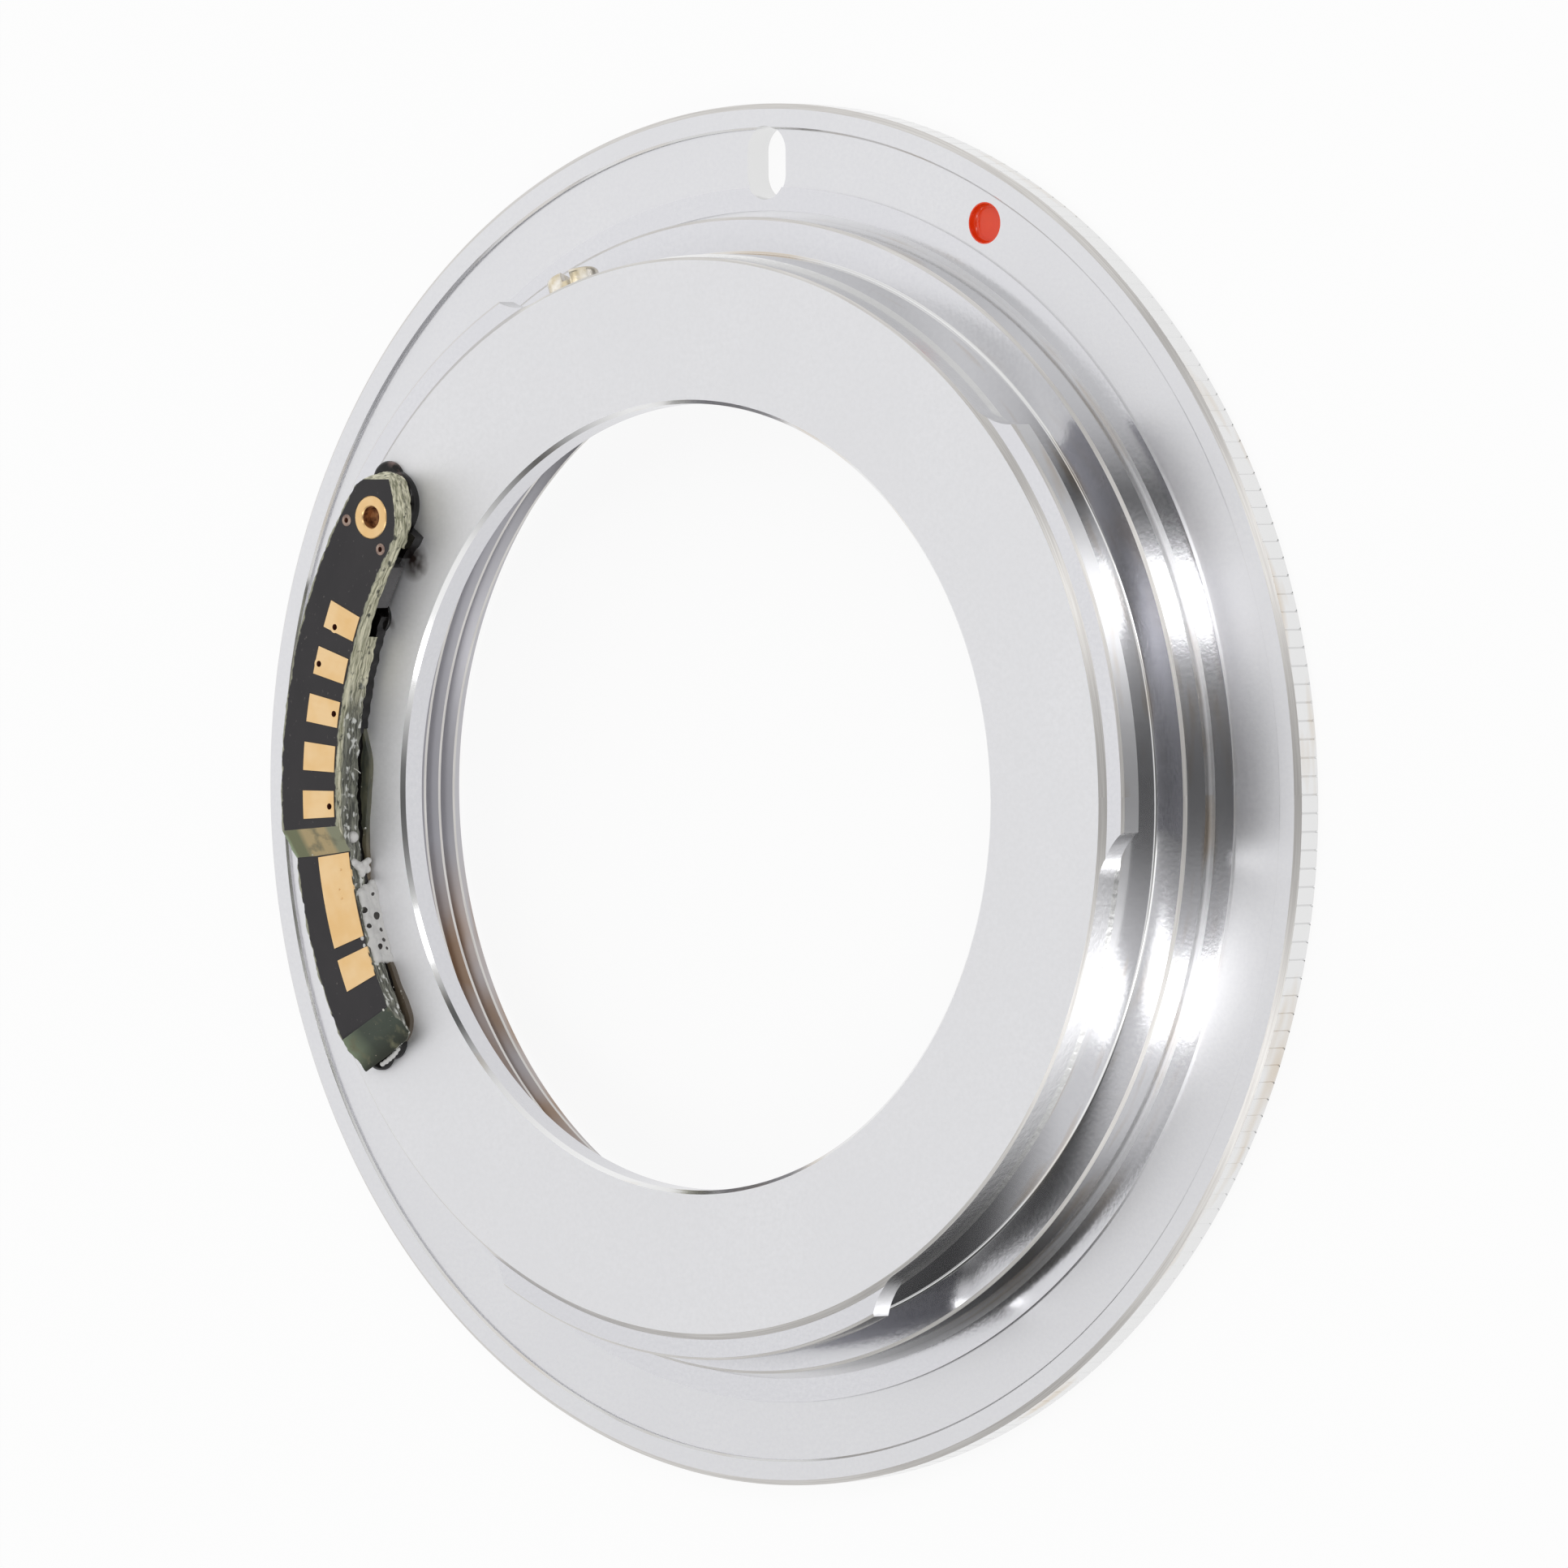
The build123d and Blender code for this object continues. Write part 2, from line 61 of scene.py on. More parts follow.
# Ring: lens side, flange and camera side
THREAD_RADIUS = 21.0
BORE_CHAMFER = 0.25
FLANGE_THICKNESS = 1.46
REGISTER_RADIUS = 27.0
SEAT_INNER_RADIUS = 28.4
SEAT_OUTER_RADIUS = 31.1
FLANGE_RADIUS = 32.3
LAND_STEP = 0.12
RIM_STEP = 0.2
STEP_BEVEL = 0.1
RIM_CHAMFER = 0.25
REGISTER_HEIGHT = 1.88
REGISTER_CHAMFER = 0.14
RELIEF_WIDTH = 0.3
RELIEF_DEPTH = 0.15
BOSS_RADIUS = 25.25
BOSS_HEIGHT = 5.6
BOSS_CHAMFER = 0.28
LIP_RADIUS = 18.3
LIP_THICKNESS = 1.3
LIP_CHAMFER = 0.18
LUG_RADIUS = 26.2
LUG_THICKNESS = 1.1
LUG_CHAMFER = 0.12
LUG_SPANS = ((-3.5, 40.6), (117.4, 164.0), (241.5, 293.9))
LUG_MILL_RADIUS = 3.0
POCKET_BITE = 0.15
KNURL_COUNT = 240
KNURL_DEPTH = 0.06
KNURL_WIDTH = 0.14
KNURL_RUNOUT = 0.04
STEPS_PER_TOOTH = 4
RING_STEPS = KNURL_COUNT * STEPS_PER_TOOTH
BOSS_FILLET = 0.15
# How upright the normal of a face is, where it is level and where it is a bevel
LEVEL_FACE = 0.99
BEVEL_FACE = (0.6, 0.8)
# Finishes of the turned faces, in the order of the ring's materials
FACE, FLAT, WALL, BEVEL, BORE, RUBBED_SHADED = range(6)

# Lens thread inside the bore: pitch, depth of the ridges, and the widths of their crests and roots
THREAD_PITCH = 1.0
THREAD_DEPTH = 0.54
CREST_WIDTH = 0.16
ROOT_WIDTH = 0.84
THREAD_START = 0.3
THREAD_TURNS = 4.2
THREAD_STEPS = 200
WALL_BITE = 0.02

# Locking slot, index dot and stop screw
SLOT_ANGLE = 89.5
SLOT_RADIUS = 29.54
SLOT_LENGTH = 3.45
SLOT_WIDTH = 2.38
DOT_ANGLE = 62.6
DOT_PLACE = 29.75
DOT_RADIUS = 0.97
DOT_DEPTH = 0.5
ENAMEL_FLOOR = 0.1
ENAMEL_WALL = 0.06
ENAMEL_FILLET = 0.22
SCREW_ANGLE = 110.5
SCREW_SEAT_RADIUS = 25.0
SCREW_HEIGHT = 3.3
SCREW_HEAD_RADIUS = 1.25
SCREW_HEAD_HEIGHT = 1.15
SCREW_SHANK_RADIUS = 0.7
SCREW_SHANK_LENGTH = 3.2
SCREW_SLOT_WIDTH = 0.45
SCREW_SLOT_DEPTH = 0.5
SCREW_SLOT_TURN = 25.0
SCREW_ROUND = 0.22

# Contact board
BOARD_INNER_RADIUS = 20.65
TOP_INNER_RADIUS = 20.53
BOARD_OUTER_RADIUS = 24.15
BED_THICKNESS = 0.6
LAMINATE = 0.8
BOARD_START = 143.8
TOP_END = 183.7
BASE_END = 208.5
TOP_BEVEL_RUN = 1.3
BASE_BEVEL_RUN = 1.7
CORNER_CUT = 0.35
# Sawn walls: how far they run in and out, how close their waves and their finer chips lie, the chips' share
# of the wear, how much of it is taken off, and the spacing of the points that it moves
WALL_WEAR = 0.07
BASE_WEAR = 1.5 * WALL_WEAR
WALL_WAVES = 2.2
WALL_CHIPS = Vector((5.0, 5.0, 9.0))
CHIPS_SHARE = 0.6
WEAR_OFFSET = 0.2
SAWN_ROWS = 6
SAWN_STEP = 0.3
ROUND_END_STEP = 4
# The round ends lean outwards more and more from here on, and are stretched a little
LEAN_START = 146.5
LEAN = 0.12
TOP_STRETCH = 0.17
BASE_STRETCH = 0.08
BASE_SETBACK = 0.4
END_FACET = 0.12
END_FACET_PLACE = (23.5, 139.9)
# How much the facet faces outwards, back and up
END_FACET_LEAN = (0.5, 0.6, 0.5)
# The bed's black band under the board's inner edge is partly epoxy and partly painted shade under the board
BED_INNER_RADIUS = 20.8
BED_OUTER_RADIUS = 23.8
BED_HOLLOW_RADIUS = 21.4
BED_HOLLOW = (147.6, 155.4)
BED_WAVE = 0.12
BED_WAVES_PER_DEGREE = 0.9
BED_NOISE_ROW = 2.5
BED_END = 206.0
STRIP_START = 171.0
STRIP_THICKNESS = 0.25
STRIP_ROUND = 0.05
STRIP_OUTER_RADIUS = 23.8
NOTCH_START = 146.0
NOTCH_END = 158.5
NOTCH_DEPTH = 2.2
CHIP_ANGLE = 151.55
CHIP_LENGTH = 2.2
CHIP_WIDTH = 1.7
CHIP_CLEARANCE = 0.35
CHIP_SETBACK = 0.1
CHIP_EDGE = 0.08
LEAD_COUNT = 3
LEAD_PITCH = 0.5
LEAD_WIDTH = 0.25
LEAD_REACH = 0.25
LEAD_THICKNESS = 0.15
PAD_INNER_RADIUS = 20.7
PAD_LENGTH = 2.0
PAD_THICKNESS = 0.1
PAD_PROUD = 0.03
PAD_START = 155.7
PAD_PITCH = 5.85
PAD_ARC = 3.4
PAD_COUNT = 5
PAD_STARTS = [PAD_START + index * PAD_PITCH for index in range(PAD_COUNT)]
LONG_PAD = (187.17, 11.2)
END_PAD = (199.87, 4.0)
VIA_RADIUS = 0.13
PAD_VIA_RADIUS = 0.15
PAD_VIAS = ((0, 22.02, 158.5), (1, 22.46, 163.6), (2, 21.0, 169.1), (4, 21.0, 181.1))
EYELET_RADIUS = 1.02
EYELET_HOLE_RADIUS = 0.52
EYELET_FLOOR = 0.25
VIA_RING_RADIUS = 0.28
VIA_PLACES = ((23.62, 146.3), (21.05, 146.2))
EYELET_EASE = 0.05

# Hand-cut inner edge of the carrier strip, as angles and radii from its upper end to its lower end
STRIP_EDGE = (
    (171.0, 20.86),
    (174.2, 20.35),
    (177.5, 20.25),
    (183.6, 20.49),
    (188.0, 20.64),
    (192.0, 20.85),
    (200.0, 20.85),
    (202.6, 20.58),
    (205.6, 20.54),
    (208.2, 20.5),
    (210.4, 20.66),
    (211.9, 21.11),
    (212.6, 21.9),
)

# Resin squeezed out past both ends of the board and in the notch: radius, angle, size and height
RESIN_POOLS = (
    (23.2, 143.4, 1.65, 0.45),
    (24.05, 141.6, 0.95, 0.3),
    (23.25, 211.3, 0.85, 0.4),
    (22.3, 211.2, 0.85, 0.4),
    (21.45, 156.6, 0.8, 0.14),
)

# Brown patches on the ring's face by the notch, partly thin resin and partly painted shade: radius, angle and
# size
RESIN_FILMS_AND_SHADE = ((20.6, 147.4, 1.0), (20.9, 157.4, 0.7))

# Sealant: the span of its main mass, the degrees in which that rises a millimetre, and its drops and burst
# bubbles as radius, angle, height and size
SEALANT_SPAN = (191.4, 201.6)
SEALANT_RISE = 1.4
SEALANT_DROPS = (
    (20.66, 185.2, 8.15, 0.3),
    (20.72, 188.6, 8.2, 0.24),
    (20.68, 189.0, 7.95, 0.24),
    (20.68, 189.6, 7.75, 0.24),
    (20.68, 190.1, 7.8, 0.2),
    (20.55, 188.7, 7.6, 0.18),
    (20.5, 188.4, 7.4, 0.17),
    (20.68, 189.5, 7.4, 0.22),
    (20.8, 197.6, 8.34, 0.17),
    (20.84, 198.6, 8.36, 0.17),
    (20.84, 199.6, 8.34, 0.17),
    (23.2, 212.95, 7.48, 0.14),
    (22.95, 213.0, 7.46, 0.15),
    (22.7, 213.0, 7.45, 0.15),
    (22.45, 213.0, 7.45, 0.15),
    (22.2, 212.95, 7.46, 0.14),
    (21.95, 212.85, 7.48, 0.13),
)
SEALANT_BUBBLES = (
    (20.4, 193.0, 7.5, 0.12),
    (20.58, 195.0, 8.15, 0.16),
    (20.44, 195.9, 7.5, 0.2),
    (20.44, 197.8, 7.4, 0.12),
    (20.44, 199.2, 7.4, 0.12),
    (20.5, 200.1, 7.75, 0.15),
    (20.44, 200.4, 7.35, 0.1),
    (20.55, 197.2, 8.1, 0.13),
)
# Its lumps: steps along the span, rows by height over the ring's face and by radius, the height that the mass
# starts at, sizes and stray
SEALANT_STEPS = 18
SEALANT_ROWS = ((0.95, 20.72), (0.62, 20.74), (0.32, 20.72), (0.1, 20.72))
SEALANT_FOOT = 0.2
LUMP_SIZES = (0.22, 0.3)
LUMP_STRAY = 0.04
# Size of the grid that fuses the lumps, and how far and how often their skin is softened
SEALANT_GRAIN = 0.06
SKIN_SOFTNESS = 0.6
SKIN_ROUNDS = 3

# Small debris by radius, angle and size, with a height between unless it lies on the long contact
SOLDER_BLOB = (21.11, 149.3, 7.9, 0.12)
SOLDER_GRAINS = ((21.32, 189.2, 0.045), (21.61, 191.6, 0.05), (21.55, 192.8, 0.05))
CRUMBS = (
    (21.07, 211.4, 7.33, 0.09),
    (20.56, 184.1, 7.33, 0.05),
    (20.91, 205.5, 7.33, 0.06),
    (20.7, 203.0, 8.1, 0.08),
    (20.85, 206.4, 7.75, 0.09),
    (21.0, 208.5, 8.44, 0.07),
    (20.92, 209.0, 7.6, 0.17),
    (20.86, 208.3, 7.75, 0.12),
    (23.03, 186.7, 8.48, 0.06),
)
# Loose glass fibres, each through three places by radius, angle and height
FIBRE_RADIUS = 0.02
FIBRES = (
    ((21.7, 155.5, 7.8), (21.55, 156.0, 7.45), (21.35, 155.7, 7.2)),
    ((20.66, 176.2, 7.95), (20.5, 176.4, 7.9), (20.42, 176.8, 7.75)),
    ((20.66, 181.0, 8.7), (20.52, 181.1, 8.75), (20.46, 181.5, 8.7)),
)

# Levels
SEAT_LEVEL = FLANGE_THICKNESS
FACE_LEVEL = SEAT_LEVEL + BOSS_HEIGHT
REGISTER_LEVEL = SEAT_LEVEL + REGISTER_HEIGHT
LUG_TOP = FACE_LEVEL - BOSS_CHAMFER
LUG_BOTTOM = LUG_TOP - LUG_THICKNESS
LIP_BOTTOM = FACE_LEVEL - LIP_THICKNESS
BASE_LEVEL = FACE_LEVEL + BED_THICKNESS
TOP_LEVEL = BASE_LEVEL + LAMINATE
BOARD_LEVEL = TOP_LEVEL + LAMINATE
PAD_TOP = BOARD_LEVEL + PAD_PROUD
PAD_BOTTOM = PAD_TOP - PAD_THICKNESS
EYELET_SEAT = TOP_LEVEL + 0.05
VIA_FLOOR = TOP_LEVEL + 0.2
PAD_VIA_FLOOR = BOARD_LEVEL - 0.3
VIA_RING_SEAT = BOARD_LEVEL - 0.05
BOARD_MID_RADIUS = (BOARD_INNER_RADIUS + BOARD_OUTER_RADIUS) / 2
TOP_BEVEL_ARC = math.degrees(TOP_BEVEL_RUN / BOARD_MID_RADIUS)
BASE_BEVEL_ARC = math.degrees(BASE_BEVEL_RUN / BOARD_MID_RADIUS)

# Drawing: reach of the tools past what they cut, degrees between an arc's points, and reach of the welds
OVERCUT = 1.0
FINE_STEP = 0.5
SLOT_STEP = 6
WELD = 0.002
TURNED_WELD = 0.00001
# Steps round each kind of turned piece or hole, and along the quarter rounds of their sections
TOOL_STEPS = 48
MILL_STEPS = 96
HEAD_STEPS = 64
EYELET_STEPS = 72
POOL_STEPS = 72
VIA_RING_STEPS = 32
VIA_HOLE_STEPS = 20
FILLET_STEPS = 4
ROUNDING_STEPS = 6
POOL_RIM_STEPS = 5
# A face or a vertex this near to a radius or a height lies at it
CLOSE = 0.01
# A face of the laminate carries the mask when its normal is more upright than this
MASK_FACE = 0.9
# Points between two knots of the strip's hand-cut edge, and the edge's roughness as a share of its radius
CURVE_POINTS = 12
STRIP_GRAIN = 0.002
# Rounding of a pool's rim as a share of its height, and the height of a crumb as a share of its width
POOL_SOFTNESS = 0.7
CRUMB_FLATNESS = 0.7


def polar(radius, degrees, height=0.0):
    """Point at a radius, an angle and a height."""
    turn = math.radians(degrees)
    return Vector((radius * math.cos(turn), radius * math.sin(turn), height))


def srgb(code):
    """Linear colour from an sRGB hex code."""
    channels = [int(code[i : i + 2], 16) / 255 for i in (1, 3, 5)]
    linear = [c / 12.92 if c <= 0.04045 else ((c + 0.055) / 1.055) ** 2.4 for c in channels]
    return (*linear, 1.0)


def node(tree, kind, inputs=None, **settings):
    """Adds a node and sets or links its inputs. A node as an input stands for its first enabled output."""
    made = tree.nodes.new("ShaderNode" + kind)
    for name, value in settings.items():
        setattr(made, name, value)
    for name, value in (inputs or {}).items():
        if isinstance(value, bpy.types.Node):
            value = next(socket for socket in value.outputs if socket.enabled)
        if isinstance(value, bpy.types.NodeSocket):
            tree.links.new(value, made.inputs[name])
        else:
            made.inputs[name].default_value = value
    return made


def new_material(name):
    """Material with an empty node tree."""
    material = bpy.data.materials.new(name)
    material.use_nodes = True
    material.node_tree.nodes.clear()
    return material, material.node_tree


def finished(material, shader):
    """Links a shader to a material's surface, and returns the material."""
    node(material.node_tree, "OutputMaterial", {"Surface": shader})
    return material


def glaze(tree, under, over, source, start=0.0, end=1.0):
    """Lays one colour over another, clear at the source's start value and full at its end value."""
    under, over = [srgb(colour) if isinstance(colour, str) else colour for colour in (under, over)]
    share = node(tree, "MapRange", {"Value": source, "From Min": start, "From Max": end})
    return node(tree, "Mix", {0: share, 6: under, 7: over}, data_type="RGBA")


# Materials


def around(tree):
    """Radius, angle and height of a surface as sockets, in millimetres and in degrees from 0 to 360."""
    place = node(tree, "TexCoord").outputs["Object"]
    # The plan is turned by 180 degrees, and the angle back again, so that the angle's seam lies at +X
    scaled = node(tree, "VectorMath", {0: place, 1: (-1 / MM, -1 / MM, 1 / MM)}, operation="MULTIPLY")
    split = node(tree, "SeparateXYZ", {"Vector": scaled.outputs[0]})
    east, north = split.outputs["X"], split.outputs["Y"]
    flat = node(tree, "CombineXYZ", {"X": east, "Y": north})
    radius = node(tree, "VectorMath", {0: flat.outputs[0]}, operation="LENGTH")
    turn = node(tree, "Math", {0: north, 1: east}, operation="ARCTAN2")
    degrees = node(tree, "Math", {0: turn, 1: math.degrees(1), 2: 180.0}, operation="MULTIPLY_ADD")
    return radius.outputs["Value"], degrees.outputs[0], split.outputs["Z"]


def ring_noise(tree, spot, along, across, up, detail=2.0):
    """Noise that follows the ring. The sizes are its grain in millimetres along, across and up the ring."""
    radius, degrees, height = spot
    arc_length = math.radians(1) * BOARD_MID_RADIUS
    parts = [
        node(tree, "Math", {0: source, 1: share}, operation="MULTIPLY").outputs[0]
        for source, share in ((degrees, arc_length / along), (radius, 1 / across), (height, 1 / up))
    ]
    place = node(tree, "CombineXYZ", dict(zip("XYZ", parts)))
    made = node(tree, "TexNoise", {"Vector": place.outputs[0], "Scale": 1.0, "Detail": detail})
    return made.outputs["Fac"]


def mottled(name, size, detail, colours, spread, looks, relief=None):
    """Material clouded between two colours. Its grain and the depth of its relief are in millimetres."""
    material, tree = new_material(name)
    place = node(tree, "TexCoord").outputs["Object"]
    made = node(tree, "TexNoise", {"Vector": place, "Scale": 1 / (size * MM), "Detail": detail})
    cloud = made.outputs["Fac"]
    looks = {"Base Color": glaze(tree, *colours, cloud, *spread), **looks}
    if relief:
        depth, strength = relief
        bump = {"Height": cloud, "Distance": depth * MM, "Strength": strength}
        looks["Normal"] = node(tree, "Bump", bump)
    return finished(material, node(tree, "BsdfPrincipled", looks))


def satin_plate(name, low, high, dark, light, films_and_shade=()):
    """Nickel and chrome plate over blasted brass: pale grey, with a soft even sheen and a fine grain."""
    material, tree = new_material(name)
    place = node(tree, "TexCoord").outputs["Object"]
    sizes = ((0.2, 4.0), (7.0, 2.0), (0.9, 2.0))
    grain, cloud, smear = [
        node(tree, "TexNoise", {"Vector": place, "Scale": 1 / (size * MM), "Detail": detail}).outputs["Fac"]
        for size, detail in sizes
    ]
    tone = glaze(tree, dark, light, cloud)
    tone = glaze(tree, dark, tone, grain, 0.3, 0.7)
    patch = node(tree, "MapRange", {"Value": smear, "From Min": 0.35, "From Max": 0.6})
    # Each patch browns the face, partly as a thin film of resin and partly as painted shade of the dark notch
    for radius, degrees, size in films_and_shade:
        centre = polar(radius, degrees, FACE_LEVEL) * MM
        away = node(tree, "VectorMath", {0: place, 1: centre}, operation="DISTANCE").outputs["Value"]
        near = node(tree, "MapRange", {"Value": away, "From Min": size * MM, "From Max": 0.3 * size * MM})
        share = node(tree, "Math", {0: near, 1: patch}, operation="MULTIPLY")
        tone = glaze(tree, tone, "#4A3C38", share)
    rough = node(tree, "MapRange", {"Value": grain, "To Min": low, "To Max": high})
    bump = node(tree, "Bump", {"Height": grain, "Distance": 0.012 * MM, "Strength": 0.3})
    looks = {"Base Color": tone, "Metallic": 1.0, "Roughness": rough, "Normal": bump}
    return finished(material, node(tree, "BsdfPrincipled", looks))


def turned_plate():
    """The same plate over lathe-turned walls: brighter, with fine rings that pull reflections upright."""
    material, tree = new_material("turned_nickel_plate")
    spot = around(tree)
    rings = ring_noise(tree, spot, 40.0, 0.06, 0.06)
    stain = ring_noise(tree, spot, 5.0, 2.0, 1.2)
    tone = glaze(tree, "#E8E8E8", "#D9CFC2", stain, 0.55, 0.75)
    bump = node(tree, "Bump", {"Height": rings, "Distance": 0.003 * MM, "Strength": 0.1})
    looks = {"Base Color": tone, "Metallic": 1.0, "Roughness": 0.1, "Normal": bump}
    return finished(material, node(tree, "BsdfPrincipled", looks))


def scraped_plate():
    """Plate over the small turned bevels: duller, scraped along the ring, and a little brown as painted
    reflection.
    """
    material, tree = new_material("scraped_nickel_plate")
    rings = ring_noise(tree, around(tree), 2.5, 0.05, 0.05)
    # The faint brown paints the tan reflection seen in the bevels
    tone = glaze(tree, "#CBC8C5", "#DFDDDA", rings, 0.35, 0.7)
    bump = node(tree, "Bump", {"Height": rings, "Distance": 0.01 * MM, "Strength": 0.3})
    looks = {"Base Color": tone, "Metallic": 1.0, "Roughness": 0.4, "Normal": bump}
    return finished(material, node(tree, "BsdfPrincipled", looks))


def thread_plate():
    """Thin plate down in the thread: greyer, partly as painted shade, with the brass showing bronze through
    it on one side.
    """
    material, tree = new_material("thin_shaded_thread_plate")
    spot = around(tree)
    cloud = ring_noise(tree, spot, 6.0, 3.0, 1.5)
    worn = 1.0
    for source, start, end in ((spot[1], 246.0, 225.0), (spot[1], 186.0, 200.0), (cloud, 0.3, 0.6)):
        share = node(tree, "MapRange", {"Value": source, "From Min": start, "From Max": end})
        worn = node(tree, "Math", {0: worn, 1: share}, operation="MULTIPLY")
    # The grey is partly painted shade in the bore; the bronze is brass under the thin plate
    tone = glaze(tree, "#BDBCC0", "#A08874", worn)
    bump = node(tree, "Bump", {"Height": cloud, "Distance": 0.01 * MM, "Strength": 0.2})
    looks = {"Base Color": tone, "Metallic": 1.0, "Roughness": 0.28, "Normal": bump}
    return finished(material, node(tree, "BsdfPrincipled", looks))


def milled_plate():
    """Plate over end-milled walls: bright, with coarse chatter that breaks the light into specks."""
    looks = {"Metallic": 1.0, "Roughness": 0.2}
    colours = ("#E6E6E6", "#E6E6E6")
    return mottled("milled_nickel_plate", 0.3, 4.0, colours, (0.0, 1.0), looks, (0.03, 0.35))


def red_enamel():
    """Glossy air-dried enamel, poured into its recess: deep red-orange with a wet shine."""
    looks = {"Roughness": 0.12, "IOR": 1.5}
    colours = ("#E63A12", "#F04A18")
    return mottled("red_enamel_paint", 0.8, 1.0, colours, (0.0, 1.0), looks, (0.03, 0.3))


def yellowed_plate():
    """Screw plate gone slightly yellow: turned bright steel with a soft straw tint."""
    looks = {"Metallic": 1.0, "Roughness": 0.22}
    colours = ("#EEEAE2", "#CFC2A6")
    return mottled("yellowed_screw_plate", 0.7, 3.0, colours, (0.35, 0.65), looks, (0.02, 0.2))


def solder_mask():
    """Black solder mask, screened and baked: near black, half matt, with pale fibre at its sawn edges."""
    material, tree = new_material("black_solder_mask")
    spot = around(tree)
    cloud = ring_noise(tree, spot, 1.6, 1.2, 1.0)
    dust = ring_noise(tree, spot, 0.22, 0.22, 0.5, 3.0)
    chipped = ring_noise(tree, spot, 0.45, 0.4, 0.4, 3.0)
    tone = glaze(tree, "#242225", "#312E30", cloud)
    tone = glaze(tree, tone, "#6A6462", dust, 0.68, 0.82)
    outside = node(tree, "Math", {0: spot[0], 1: BOARD_OUTER_RADIUS}, operation="SUBTRACT")
    inside = node(tree, "Math", {0: TOP_INNER_RADIUS, 1: spot[0]}, operation="SUBTRACT")
    edge = node(tree, "Math", {0: outside, 1: inside}, operation="MAXIMUM")
    edge = node(tree, "Math", {0: chipped, 1: 0.34, 2: edge}, operation="MULTIPLY_ADD")
    tone = glaze(tree, tone, "#9A9A86", edge, 0.06, 0.12)
    bump = node(tree, "Bump", {"Height": cloud, "Distance": 0.02 * MM, "Strength": 0.2})
    looks = {"Base Color": tone, "Roughness": 0.42, "Specular IOR Level": 0.35, "Normal": bump}
    return finished(material, node(tree, "BsdfPrincipled", looks))


def sawn_laminate():
    """Glass-epoxy laminate sawn by hand: cream and olive fibres in layers, dirtier and greener low down."""
    material, tree = new_material("sawn_glass_laminate")
    spot = around(tree)
    layers = ring_noise(tree, spot, 1.1, 0.3, 0.1, 3.0)
    flecks = ring_noise(tree, spot, 0.4, 0.4, 0.3, 3.0)
    chips = ring_noise(tree, spot, 0.5, 0.4, 0.25, 2.0)
    cream = glaze(tree, "#7C7C62", "#DCD8BE", layers, 0.36, 0.62)
    cream = glaze(tree, cream, "#45463A", flecks, 0.42, 0.3)
    grimy = glaze(tree, "#3E3F38", "#87887B", layers, 0.4, 0.65)
    grimy = glaze(tree, grimy, "#CFD0CB", chips, 0.56, 0.64)
    low = {"Value": spot[2], "From Min": BOARD_LEVEL - 0.2, "From Max": BOARD_LEVEL - 0.4}
    far = node(tree, "MapRange", {"Value": spot[1], "From Min": 164.0, "From Max": 170.0})
    dirty = node(tree, "Math", {0: node(tree, "MapRange", low), 1: far}, operation="MULTIPLY")
    tone = glaze(tree, cream, grimy, dirty)
    seam = node(tree, "Math", {0: spot[2], 1: TOP_LEVEL}, operation="SUBTRACT")
    seam = node(tree, "Math", {0: seam}, operation="ABSOLUTE")
    tone = glaze(tree, tone, "#4A4A3E", seam, 0.05, 0.0)
    bump = node(tree, "Bump", {"Height": flecks, "Distance": 0.1 * MM, "Strength": 0.7})
    looks = {"Base Color": tone, "Roughness": 0.55, "Normal": bump}
    return finished(material, node(tree, "BsdfPrincipled", looks))


def filed_laminate():
    """Filed end of the laminate: smooth translucent olive, greener outside and browner over the gold."""
    material, tree = new_material("filed_glass_laminate")
    spot = around(tree)
    radius, degrees, height = spot
    cloud = ring_noise(tree, spot, 0.9, 0.9, 0.9, 3.0)
    grain = ring_noise(tree, spot, 0.12, 0.12, 0.12, 2.0)
    upper = glaze(tree, "#B5A279", "#74785B", radius, 22.9, 23.3)
    upper = glaze(tree, upper, "#8C8E76", radius, 21.5, 21.2)
    upper = glaze(tree, upper, "#9AA98A", radius, 23.9, 24.1)
    lower = glaze(tree, "#4A5148", "#7D8871", radius, 22.8, 24.1)
    lower = glaze(tree, lower, "#34372F", degrees, 210.5, 212.5)
    tone = glaze(tree, upper, lower, degrees, 195.0, 200.0)
    tone = glaze(tree, tone, "#6E6D58", cloud, 0.44, 0.28)
    foot = node(tree, "MapRange", {"Value": height, "From Min": TOP_LEVEL + 0.3, "From Max": TOP_LEVEL})
    speck = node(tree, "MapRange", {"Value": grain, "From Min": 0.72, "From Max": 0.8})
    speck = node(tree, "Math", {0: speck, 1: foot}, operation="MULTIPLY")
    tone = glaze(tree, tone, "#D9C9BC", speck)
    bump = node(tree, "Bump", {"Height": grain, "Distance": 0.02 * MM, "Strength": 0.3})
    looks = {"Base Color": tone, "Roughness": 0.38, "Normal": bump}
    return finished(material, node(tree, "BsdfPrincipled", looks))


def strip_laminate():
    """Thin unplated laminate, dark olive and brown, glossed over with old resin."""
    material, tree = new_material("dark_strip_laminate")
    spot = around(tree)
    cloud = ring_noise(tree, spot, 1.4, 0.5, 0.3, 3.0)
    chips = ring_noise(tree, spot, 0.25, 0.2, 0.2)
    tone = glaze(tree, "#33362F", "#5A5947", cloud, 0.35, 0.65)
    tone = glaze(tree, tone, "#6B5F4C", spot[1], 184.0, 190.0)
    tone = glaze(tree, tone, "#4F4538", spot[1], 199.0, 203.0)
    tone = glaze(tree, tone, "#A9A79A", chips, 0.7, 0.76)
    bump = node(tree, "Bump", {"Height": cloud, "Distance": 0.05 * MM, "Strength": 0.4})
    looks = {"Base Color": tone, "Roughness": 0.35, "Normal": bump}
    return finished(material, node(tree, "BsdfPrincipled", looks))


